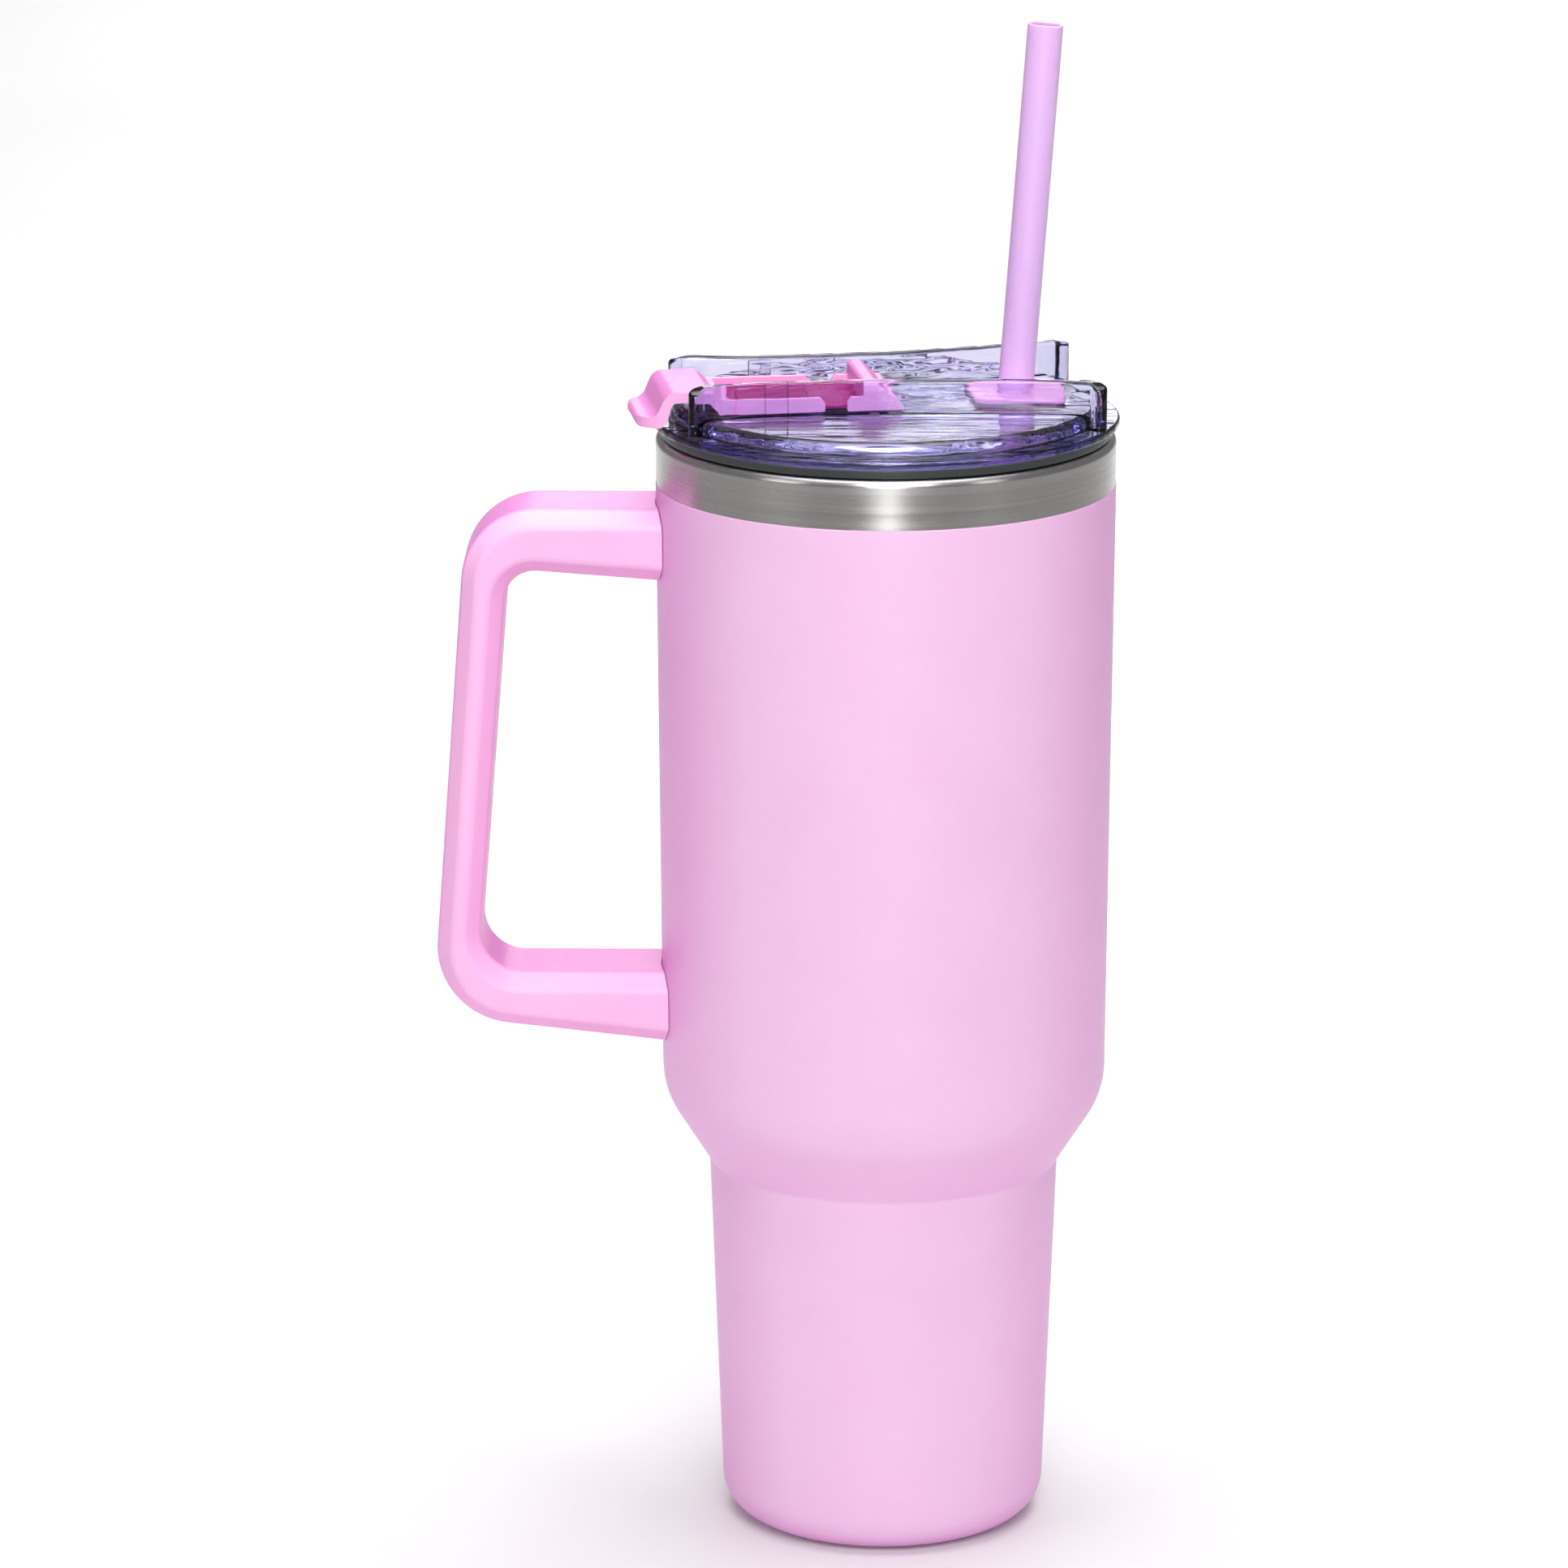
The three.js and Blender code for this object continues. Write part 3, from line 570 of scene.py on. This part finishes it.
def chamfered(name, outline, half, inset, rise):
    """An x-z outline made solid across y, with a chamfer round both faces."""
    def ring(work, points, y):
        return [work.verts.new((p.x, y, p.y)) for p in points]

    small = offset(outline, inset, closed=True)

    def build(work):
        rings = [ring(work, small, -half), ring(work, outline, rise - half),
                 ring(work, outline, half - rise), ring(work, small, half)]
        work.faces.new(rings[0])
        work.faces.new(rings[-1])
        for low, high in zip(rings, rings[1:]):
            for k in range(len(outline)):
                n = (k + 1) % len(outline)
                work.faces.new((low[k], low[n], high[n], high[k]))
    return add_object(name, mesh_from(build))


def bracket_pocket(place):
    """Room in an arm of the handle for the bracket that stands out of the body."""
    low, high = NODES[f"handle_bracket_{place}"]
    clear = 0.3 * MM
    plan = rectangle(low.x - clear, -40 * MM, low.y - clear, high.y + clear, 0.5 * MM)
    return prism("pocket", plan, low.z - clear, high.z + clear)


def screw_bore(place):
    """A counterbore for a screw's head and plug, narrowing to its shank."""
    low, high = NODES[f"screw_plug_{place}"]
    head, shank = (high.x - low.x) / 2 + 0.12 * MM, 2.2 * MM
    ledge, top = high.z + 2.4 * MM, NODES[f"handle_screw_{place}"][1].z
    foot = low.z - 3 * MM
    outline = [(0, foot), (head, foot), (head, ledge), (shank, ledge), (shank, top), (0, top)]
    return lathe("bore", [Vector(p) for p in outline], SMALL_ROUND, ((low + high) / 2).xy)


def handle():
    """The C handle, with room for its fixings, cut to fit against the wall."""
    piece = chamfered("handle_grip", handle_outline(), HANDLE_HIGH.y, HANDLE_CHAMFER, HANDLE_CHAMFER_Y)
    bevel(piece, 0.9 * MM, 4, 30)
    for place in ("upper", "lower"):
        combine(piece, bracket_pocket(place), "DIFFERENCE")
    for place in ("upper", "lower"):
        combine(piece, screw_bore(place), "DIFFERENCE")
    wall = offset(wall_outline(), -GAP)
    envelope = lathe("envelope", [Vector((0, 0))] + wall + [Vector((0, COAT_TOP_Z))])
    combine(piece, envelope, "DIFFERENCE")
    return finish_piece(shade(piece, 30), "cup", HANDLE_PLASTIC, "handle_plastic", "handle")


def screw_plug(place):
    """A domed plug that hides a handle screw."""
    low, high = NODES[f"screw_plug_{place}"]
    radius = (high.x - low.x) / 2
    outline = rounded([
        (0, low.z), (radius * 0.6, low.z + 0.05 * MM), (radius, low.z + 0.25 * MM, 0.4 * MM),
        (radius, high.z), (0, high.z),
    ], steps=5)
    piece = lathe(f"plug_{place}", outline, SMALL_ROUND, ((low + high) / 2).xy)
    return finish_piece(shade(piece), "cup", HANDLE_PLASTIC, "handle_plastic", f"screw_plug_{place}")


# ---------------------------------------------------------------- lid
FENCE_THICK = 2.4 * MM
END_HALF = 1.65 * MM  # half the fence's thickness near its ends
FENCE_CORNER, CORNER_FALL = 5.5 * MM, 2.4 * MM  # length and drop of the rounded top corners
FENCE_FOOT_Z = FLANGE_TOP_Z - 0.4 * MM
DECK_EDGE_R = 43.4 * MM  # where a fence leaves the deck and its foot goes down to the flange


def lid_cap():
    """Flange, raised deck and skirt in one turned solid, open underneath."""
    inner = SKIRT_R - 1.8 * MM
    under = DECK_Z - 2 * MM
    return lathe("lid_clear", rounded([
        (0, under), (inner, under, 1.6 * MM), (inner, SKIRT_BOTTOM_Z, 0.4 * MM),
        (SKIRT_R, SKIRT_BOTTOM_Z, 0.4 * MM), (SKIRT_R, FLANGE_Z), (FLANGE_R, FLANGE_Z, 0.6 * MM),
        (FLANGE_R, FLANGE_TOP_Z, 0.7 * MM), (DECK_R, FLANGE_TOP_Z, 0.5 * MM), (DECK_R, DECK_Z, 1.9 * MM),
        (0, DECK_Z),
    ], steps=8))


def smooth(points, steps=12):
    """A curve through the points (Catmull-Rom)."""
    ends = [2 * points[0] - points[1], *points, 2 * points[-1] - points[-2]]
    curve = []
    for p0, p1, p2, p3 in zip(ends, ends[1:], ends[2:], ends[3:]):
        for k in range(steps):
            t = k / steps
            bend = (2 * p0 - 5 * p1 + 4 * p2 - p3) * t ** 2 + (3 * p1 - p0 - 3 * p2 + p3) * t ** 3
            curve.append((2 * p1 + (p2 - p0) * t + bend) / 2)
    return curve + [points[-1]]


def fence_line(side):
    """Plan centre line of one fence: nearly straight along the cover, turned outwards at both ends."""
    run = smooth([Vector(p) for p in (
        (-40, 16.1), (-34, 14.9), (-26, 14.2), (-14, 14.0), (0, 14.6), (16, 16.7), (33, 19.9), (38.6, 21.5),
    )])
    tab = rounded([(-43.3, 19), (-43.2, 16.6, 2.2), tuple(run[0])], closed=False, steps=12)
    straw = rounded([tuple(run[-1]), (41.9, 22.4, 2.4), (42.2, 25.2)], closed=False, steps=12)
    return [Vector((p.x, side * p.y)) * MM for p in tab[:-1] + run + straw[1:]]


def along_line(line):
    """A function from a distance along a line to the point there and its direction."""
    ahead = [(b - a).normalized() for a, b in zip(line, line[1:])]
    tangents = [ahead[0]] + [(a + b).normalized() for a, b in zip(ahead, ahead[1:])] + [ahead[-1]]
    reached = [0.0]
    for a, b in zip(line, line[1:]):
        reached.append(reached[-1] + (b - a).length)

    def at(distance):
        k = next((i for i in range(len(line) - 2) if distance <= reached[i + 1]), len(line) - 2)
        t = (distance - reached[k]) / (reached[k + 1] - reached[k])
        return line[k].lerp(line[k + 1], t), tangents[k].lerp(tangents[k + 1], t).normalized()
    return at, reached[-1]


def fence_stations(length):
    """Distances along a fence for its sections, closer together at both ends."""
    start = [END_HALF * (1 - math.cos(a)) for a in arc_angles(0, math.pi / 2, 8)]
    start += [END_HALF + (FENCE_CORNER - END_HALF) * t for t in arc_angles(0, 1, 9)[1:]]
    middle = [start[-1] + (length - 2 * start[-1]) * t for t in arc_angles(0, 1, 110)[1:-1]]
    return start + middle + [length - s for s in reversed(start)]


def fence_half(to_end):
    """Half the fence's thickness at a distance from its end: thicker near the end, which is round."""
    grow = min(max((to_end - 4 * MM) / (6 * MM), 0), 1)
    half = END_HALF + (FENCE_THICK / 2 - END_HALF) * grow ** 2 * (3 - 2 * grow)
    if to_end < END_HALF:
        half *= math.sqrt(max(1 - (1 - to_end / END_HALF) ** 2, 0.0004))
    return half


def fence_section(half, foot, top):
    """Outline of a fence across its line, with a rounded crest."""
    crest = min(0.7 * MM, half)
    rise = [
        (half - crest * (1 - math.cos(a)), top - crest * (1 - math.sin(a)))
        for a in arc_angles(0, math.pi / 2, 4)
    ]
    return [(-half, foot)] + [(-y, z) for y, z in rise] + rise[::-1] + [(half, foot)]


def fence(side):
    """A wall along the fence line, with rounded ends and rounded top corners."""
    at, length = along_line(fence_line(side))

    def build(work):
        rings = []
        for s in fence_stations(length):
            to_end = min(s, length - s)
            drop = CORNER_FALL * (1 - math.sqrt(1 - max(1 - to_end / FENCE_CORNER, 0) ** 2))
            here, direction = at(s)
            across = Vector((-direction.y, direction.x))
            foot = FENCE_FOOT_Z if here.length > DECK_EDGE_R else DECK_Z - 1 * MM
            section = fence_section(fence_half(to_end), foot, FENCE_TOP_Z - drop)
            rings.append([work.verts.new((*(here + across * y), z)) for y, z in section])
        for low, high in zip(rings, rings[1:]):
            for k in range(len(low)):
                n = (k + 1) % len(low)
                work.faces.new((low[k], low[n], high[n], high[k]))
        work.faces.new(rings[0])
        work.faces.new(rings[-1])
    return add_object("fence", mesh_from(build))


def hole(low, high, radius, centre, sides):
    """A round cutter from low to high."""
    outline = [Vector((0, low)), Vector((radius, low)), Vector((radius, high)), Vector((0, high))]
    return lathe("hole", outline, sides, centre)


def clear_lid():
    """The clear moulding: cap, fences, ribs beside the cover, and the holes for pegs, sip and straw."""
    piece = lid_cap()
    through = (DECK_Z - 3 * MM, DECK_Z + 1 * MM)
    for side in (1, -1):
        combine(piece, fence(side), "UNION")
        rib_y = sorted([side * 12.5 * MM, side * 14 * MM])
        plan = rectangle(-28 * MM, -23 * MM, *rib_y, 0.3 * MM)
        combine(piece, prism("rib", plan, DECK_Z - 1 * MM, FENCE_TOP_Z - 0.8 * MM), "UNION")
        combine(piece, hole(*through, 1.8 * MM, (-4 * MM, side * 8 * MM), 32), "DIFFERENCE")
    sip = prism("hole", rectangle(-31.35 * MM, -20.65 * MM, -3.8 * MM, 3.8 * MM, 3 * MM), *through)
    combine(piece, sip, "DIFFERENCE")
    combine(piece, hole(*through, 7.3 * MM, (STRAW_X, 0), SMALL_ROUND), "DIFFERENCE")
    in_lid(piece)
    piece.visible_shadow = False  # light reaches what lies behind clear plastic
    return finish_piece(shade(piece, 32), "lid", CLEAR, "clear_lid", "lid_shell")


def gasket():
    """The seal: a sleeve with two fins inside the mouth and a ring between lid and lip."""
    low, high = NODES["lid_gasket"]
    inside, outside, ring = SKIRT_R + GAP, TOP_R - WALL - 0.2 * MM, high.y
    sleeve = outside - 0.5 * MM
    ring_low = LIP_TOP_Z + GAP
    fins = []
    for z in (236.6 * MM, 239 * MM):
        fins += [(sleeve, z), (outside, z + 0.5 * MM, 0.3 * MM)]
        fins += [(outside, z + 1 * MM, 0.3 * MM), (sleeve, z + 1.6 * MM)]
    piece = lathe("gasket", rounded([
        (inside, low.z), (sleeve, low.z, 0.3 * MM), *fins, (sleeve, ring_low, 0.6 * MM),
        (ring, ring_low, 0.5 * MM), (ring, FLANGE_Z - GAP, 0.4 * MM), (inside, FLANGE_Z - GAP),
    ], steps=5))
    return finish_piece(shade(piece), "lid_seal", GASKET, "gasket", "lid_gasket")


# ---------------------------------------------------------------- flip cover
TAB_TOP_Z = 254.85 * MM
TAB_THICK = 2.2 * MM
TAB_HALF_Y = 12.7 * MM
TAB_LIP_Z = 247.2 * MM
TRAY_START_X = -36.3 * MM  # the tray is the sunken top of the cover and the hinge block
TRAY_FLOOR_Z = 251.35 * MM
TRAY_HALF_Y = 10.9 * MM
WINDOW_X = (-33 * MM, -17 * MM)
WINDOW_HALF_Y = 6.6 * MM
FIN_TOP_Z = 256.3 * MM
FIN_CORNER = 2.4 * MM


def cut_tray(piece, start, end):
    """Sinks the top of a piece between two places along it."""
    room = prism("room", rectangle(start, end, -TRAY_HALF_Y, TRAY_HALF_Y, 0.9 * MM), TRAY_FLOOR_Z, 0.3)
    combine(piece, room, "DIFFERENCE")


def paint_tray_shade(piece, material):
    """Gives the tray's floor a second, deep magenta material: painted shade of the sunken tray."""
    piece.data.materials.append(material)
    for face in piece.data.polygons:
        if abs(face.center.z - TRAY_FLOOR_Z) < 0.1 * MM and face.normal.z > 0.9:
            face.material_index = 1
    return piece


def round_fin_ends(piece):
    """Rounds the top corners at both ends of the fin."""
    half, top = PLATE_HALF_Y + 0.01 * MM, FIN_TOP_Z + 0.01 * MM
    keep = prism("keep", rounded([
        (-half, PLATE_BOTTOM_Z - 1 * MM), (half, PLATE_BOTTOM_Z - 1 * MM),
        (half, top, FIN_CORNER), (-half, top, FIN_CORNER),
    ]), -20 * MM, 20 * MM, "y")
    keep.data.transform(Matrix.Rotation(math.pi / 2, 4, "Z"))
    combine(piece, keep, "INTERSECT")


def hinge_block():
    """The fixed block behind the hinge, with a fin across it that stops the opened cover."""
    left = HINGE_X + HINGE_HALF_GAP
    end = 2.2 * MM
    fin = left + 3.5 * MM
    piece = prism("cover_block", rounded([
        (left, PLATE_BOTTOM_Z, 0.3 * MM), (end, PLATE_BOTTOM_Z, 0.3 * MM),
        (end - 1.7 * MM, PLATE_TOP_Z, 1.6 * MM), (fin + 5.9 * MM, PLATE_TOP_Z, 1.2 * MM),
        (fin + 2.5 * MM, FIN_TOP_Z, 1.05 * MM), (fin, FIN_TOP_Z - 0.3 * MM, 1.0 * MM),
        (fin, PLATE_TOP_Z, 0.5 * MM), (left + FOLD_CHAMFER, PLATE_TOP_Z, 0.3 * MM),
        (left, PLATE_TOP_Z - FOLD_CHAMFER, 0.3 * MM),
    ], steps=8), -PLATE_HALF_Y, PLATE_HALF_Y, "y")
    cut_tray(piece, left - 3 * MM, fin)
    round_fin_ends(piece)
    bevel(piece, 0.35 * MM, 3, 50)
    for side in (1, -1):
        peg = lathe("peg", rounded([
            (0, DECK_Z - 2.6 * MM), (1.6 * MM, DECK_Z - 2.6 * MM, 0.4 * MM),
            (1.6 * MM, PLATE_BOTTOM_Z + 1 * MM), (0, PLATE_BOTTOM_Z + 1 * MM),
        ], steps=4), 32, (-4 * MM, side * 8 * MM))
        combine(piece, peg, "UNION")
    in_lid(piece)
    finish_piece(shade(piece), "lid", COVER_PLASTIC, "cover_plastic", "flap_base")
    # the tray floor gets the painted shade material
    return paint_tray_shade(piece, PAINTED_SHADE_PLASTIC)


def hinge_web():
    """The thin web that bends when the cover opens."""
    reach = HINGE_HALF_GAP + 0.6 * MM
    half, half_y = 0.35 * MM, 11.8 * MM
    middle = HINGE_AT.z

    def build(work):
        columns = []
        for t in arc_angles(-1, 1, 24):
            x = HINGE_X + reach * t
            thick = half * (0.65 + 0.35 * t * t)
            columns.append([
                work.verts.new((x, y, middle + z))
                for y, z in ((-half_y, -thick), (half_y, -thick), (half_y, thick), (-half_y, thick))
            ])
        for low, high in zip(columns, columns[1:]):
            for k in range(4):
                n = (k + 1) % 4
                work.faces.new((low[k], low[n], high[n], high[k]))
        work.faces.new(columns[0])
        work.faces.new(columns[-1])
    piece = in_lid(add_object("cover_hinge_web", mesh_from(build)))
    shade(piece)
    # the web carries the painted shade material of the tray
    finish_piece(piece, None, PAINTED_SHADE_PLASTIC, "cover_plastic", "living_hinge")
    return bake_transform(piece)


def cover():
    """The cover plate, its step up to the thumb tab and the tab's S down to a rounded lip."""
    right = HINGE_X - HINGE_HALF_GAP
    under, lip_top = TAB_TOP_Z - TAB_THICK, TAB_LIP_Z + TAB_THICK
    end = -54.9 * MM
    piece = prism("flip_cover_plate", rounded([
        (right, PLATE_BOTTOM_Z, 0.3 * MM), (right, PLATE_TOP_Z - FOLD_CHAMFER, 0.3 * MM),
        (right - FOLD_CHAMFER, PLATE_TOP_Z, 0.3 * MM),
        (-37.4 * MM, PLATE_TOP_Z, 1.2 * MM), (-39.6 * MM, TAB_TOP_Z, 1.2 * MM),
        (-48.6 * MM, TAB_TOP_Z, 3 * MM),
        (-51 * MM, lip_top, 2.4 * MM), (end, lip_top, 1.05 * MM), (end, TAB_LIP_Z, 1.05 * MM),
        (-49.1 * MM, TAB_LIP_Z, 2.2 * MM), (-47.4 * MM, under, 1.2 * MM), (-40 * MM, under, 1 * MM),
        (-38 * MM, PLATE_BOTTOM_Z, 0.8 * MM),
    ], steps=8), -TAB_HALF_Y - 1 * MM, TAB_HALF_Y + 1 * MM, "y")
    notch = -34 * MM
    half_plan = [
        (right + 1 * MM, PLATE_HALF_Y), (notch + 0.7 * MM, PLATE_HALF_Y), (notch, PLATE_HALF_Y - 0.8 * MM),
        (notch - 0.7 * MM, PLATE_HALF_Y), (-38 * MM, PLATE_HALF_Y, 0.6 * MM),
        (-39 * MM, TAB_HALF_Y, 0.6 * MM),
        (end, TAB_HALF_Y, 7.5 * MM),
    ]
    mirrored = [(x, -y, *r) for x, y, *r in reversed(half_plan)]
    plan = prism("plan", rounded(half_plan + mirrored, steps=14), PLATE_BOTTOM_Z - 5 * MM, TAB_TOP_Z + 1 * MM)
    combine(piece, plan, "INTERSECT")
    cut_tray(piece, TRAY_START_X, HINGE_X)
    window = prism("window", rectangle(*WINDOW_X, -WINDOW_HALF_Y, WINDOW_HALF_Y, 1.5 * MM),
                   DECK_Z - 1 * MM, PLATE_TOP_Z + 1 * MM)
    combine(piece, window, "DIFFERENCE")
    bevel(piece, 0.35 * MM, 3, 50)
    in_lid(piece)
    finish_piece(shade(piece), "cover", COVER_PLASTIC, "cover_plastic", "flip_cover")
    # the tray floor gets the painted shade material
    return paint_tray_shade(piece, PAINTED_SHADE_PLASTIC)


def sip_plug():
    """The soft panel in the cover's window, with its stopper underneath."""
    inset = 0.12 * MM
    panel = prism("sip_plug_soft", rectangle(
        WINDOW_X[0] + inset, WINDOW_X[1] - inset, inset - WINDOW_HALF_Y, WINDOW_HALF_Y - inset, 1.4 * MM,
    ), PLATE_BOTTOM_Z, TRAY_FLOOR_Z)
    bevel(panel, 0.3 * MM, 3, 50)
    stopper = prism("stopper", rectangle(-30.6 * MM, -21.4 * MM, -3.2 * MM, 3.2 * MM, 2.4 * MM),
                    DECK_Z - 2.2 * MM, PLATE_BOTTOM_Z + 1 * MM)
    bevel(stopper, 0.5 * MM, 3, 50)
    combine(panel, stopper, "UNION")
    in_lid(panel)
    # the panel's colour is partly its own soft seal colour and partly painted shade of the sunken tray
    return finish_piece(shade(panel), "cover", SEAL_PINK_PAINTED_SHADE, "soft_seal", "sip_plug")


# ---------------------------------------------------------------- straw and grommet
STRAW_R = 3.8 * MM
STRAW_LEVEL = 254 * MM  # height at which the straw's axis crosses x = STRAW_X in the lid's frame


def straw_point(z):
    """The point of the straw's axis at a height, in the row's frame."""
    anchor = LID @ Vector((STRAW_X, 0, STRAW_LEVEL))
    return anchor + STRAW_AXIS * (z - STRAW_LEVEL) / STRAW_AXIS.z


def straw_matrix():
    """Turns +Z to the straw's axis and puts the origin where the axis crosses z = 0."""
    return Matrix.Translation(straw_point(0)) @ STRAW_AXIS.to_track_quat("Z", "Y").to_matrix().to_4x4()


def straw():
    """The leaning tube, with rounded rims inside the CAD straw's height."""
    low, high = NODES["straw"][0].z, NODES["straw"][1].z
    tilt = STRAW_AXIS.z
    spare = STRAW_R * math.sqrt(1 - tilt ** 2) / tilt + 0.02 * MM
    inner = STRAW_R - 0.8 * MM
    bottom, top = (low + spare) / tilt, (high - spare) / tilt
    stretch = [bottom + (top - bottom) * t for t in arc_angles(0, 1, 40)][1:-1]
    outline = [
        *rounded([(inner, bottom, 0.25 * MM), (STRAW_R, bottom, 0.35 * MM), (STRAW_R, bottom + 2 * MM)],
                 closed=False, steps=4)[1:],
        *[Vector((STRAW_R, s)) for s in stretch],
        *rounded([
            (STRAW_R, top - 2 * MM), (STRAW_R, top, 0.38 * MM),
            (inner, top, 0.38 * MM), (inner, top - 2 * MM),
        ], closed=False, steps=4),
        *[Vector((inner, s)) for s in reversed(stretch)],
        Vector((inner, bottom)),
    ]
    piece = lathe("straw_tube", outline, SMALL_ROUND)
    piece.data.transform(straw_matrix())
    return finish_piece(shade(piece), "straw", STRAW, "straw_plastic", "straw")


def grommet():
    """The soft pad round the straw, with a raised collar, a neck through the deck and a locking ring."""
    low, high = NODES["straw_grommet"]
    half_x, half_y = 10.3 * MM, 11 * MM
    pad = prism("straw_seal", rectangle(STRAW_X - half_x, STRAW_X + half_x, -half_y, half_y, 4 * MM),
                DECK_Z + GAP, high.z)
    bevel(pad, 0.6 * MM, 4, 50)
    lock = DECK_Z - 2.3 * MM
    neck = lathe("neck", rounded([
        (0, low.z), (7 * MM, low.z, 0.4 * MM), (8.7 * MM, lock - 1.8 * MM, 0.4 * MM),
        (8.7 * MM, lock, 0.3 * MM), (7 * MM, lock), (7 * MM, DECK_Z + 1 * MM), (0, DECK_Z + 1 * MM),
    ], steps=4), SMALL_ROUND, (STRAW_X, 0))
    combine(pad, neck, "UNION")
    in_lid(pad)
    bore = hole(200 * MM, 300 * MM, STRAW_R + 0.08 * MM, (0, 0), SMALL_ROUND)
    bore.data.transform(straw_matrix())
    combine(pad, bore, "DIFFERENCE")
    return finish_piece(shade(pad), "lid", GROMMET_PINK, "soft_seal", "straw_grommet")


# ---------------------------------------------------------------- studio
def camera():
    """The camera at the photograph's angle, looking down a little from in front."""
    data = bpy.data.cameras.new("camera")
    data.lens = 174.1
    data.sensor_width = 36
    data.clip_end = 50
    eye = bpy.data.objects.new("camera", data)
    eye.location = (0, -1.5868, 0.58196)
    eye.rotation_euler = (math.radians(90 - 14.734), 0, math.radians(0.787))
    bpy.context.scene.collection.objects.link(eye)
    bpy.context.scene.camera = eye


def softbox(name, place, target, size, watts, spread=180):
    data = bpy.data.lights.new(name, "AREA")
    data.shape = "RECTANGLE"
    data.size, data.size_y = size
    data.energy = watts
    data.spread = math.radians(spread)
    lamp = bpy.data.objects.new(name, data)
    lamp.location = place
    lamp.rotation_euler = (Vector(target) - Vector(place)).to_track_quat("-Z", "Y").to_euler()
    lamp.visible_camera = False
    bpy.context.scene.collection.objects.link(lamp)


def studio():
    """A pale floor, softboxes all round, a narrow one for the rim's glint, and a strip over the floor."""
    def build(work):
        bmesh.ops.create_circle(work, cap_ends=True, segments=96, radius=6)
    floor = add_object("floor", mesh_from(build))
    floor.data.materials.append(floor_finish())
    middle = (0, 0, 0.15)
    softbox("key", (0.1, -1.1, 1.2), (0, 0, 0.52), (0.8, 0.5), 1.55, 50)
    softbox("front", (0.03, -2.0, 0.6), (0, 0, 0.32), (0.6, 1.0), 0.58, 40)
    softbox("glint", (0.06, -2.2, 0.5), (0, 0, 0.2), (0.14, 0.9), 0.12, 30)
    softbox("left", (-1.6, -1.2, 1.0), middle, (0.7, 1.2), 0.7, 70)
    softbox("right", (1.6, -1.2, 1.0), middle, (0.5, 1.2), 0.45, 70)
    softbox("back", (0.1, 2.8, 1.0), (0, 0, 0.25), (0.9, 0.6), 4.5)
    softbox("strip", (0, 1.65, 1.4), (0, 1.65, 0), (1.4, 4.2), 18, 75)
    world = bpy.data.worlds.new("studio")
    world.use_nodes = True
    world.node_tree.nodes["Background"].inputs["Color"].default_value = (1, 1, 1, 1)
    world.node_tree.nodes["Background"].inputs["Strength"].default_value = 0.22
    bpy.context.scene.world = world
    bpy.context.scene.view_settings.view_transform = "Standard"


# ---------------------------------------------------------------- scene
HIDDEN_STEEL = (
    "vacuum_bottom", "getter_pellet", "handle_bracket_upper", "handle_bracket_lower",
    "handle_screw_upper", "handle_screw_lower",
)

camera()
studio()
coated_wall()
rolled_rim()
inner_wall()
underside_disc()
handle()
screw_plug("upper")
screw_plug("lower")
for hidden in HIDDEN_STEEL:
    frame["nodes"][hidden].data.materials.clear()
    frame["nodes"][hidden].data.materials.append(LINER_STEEL)
gasket()
clear_lid()
hinge_block()
hinge_web()
cover()
sip_plug()
grommet()
straw()
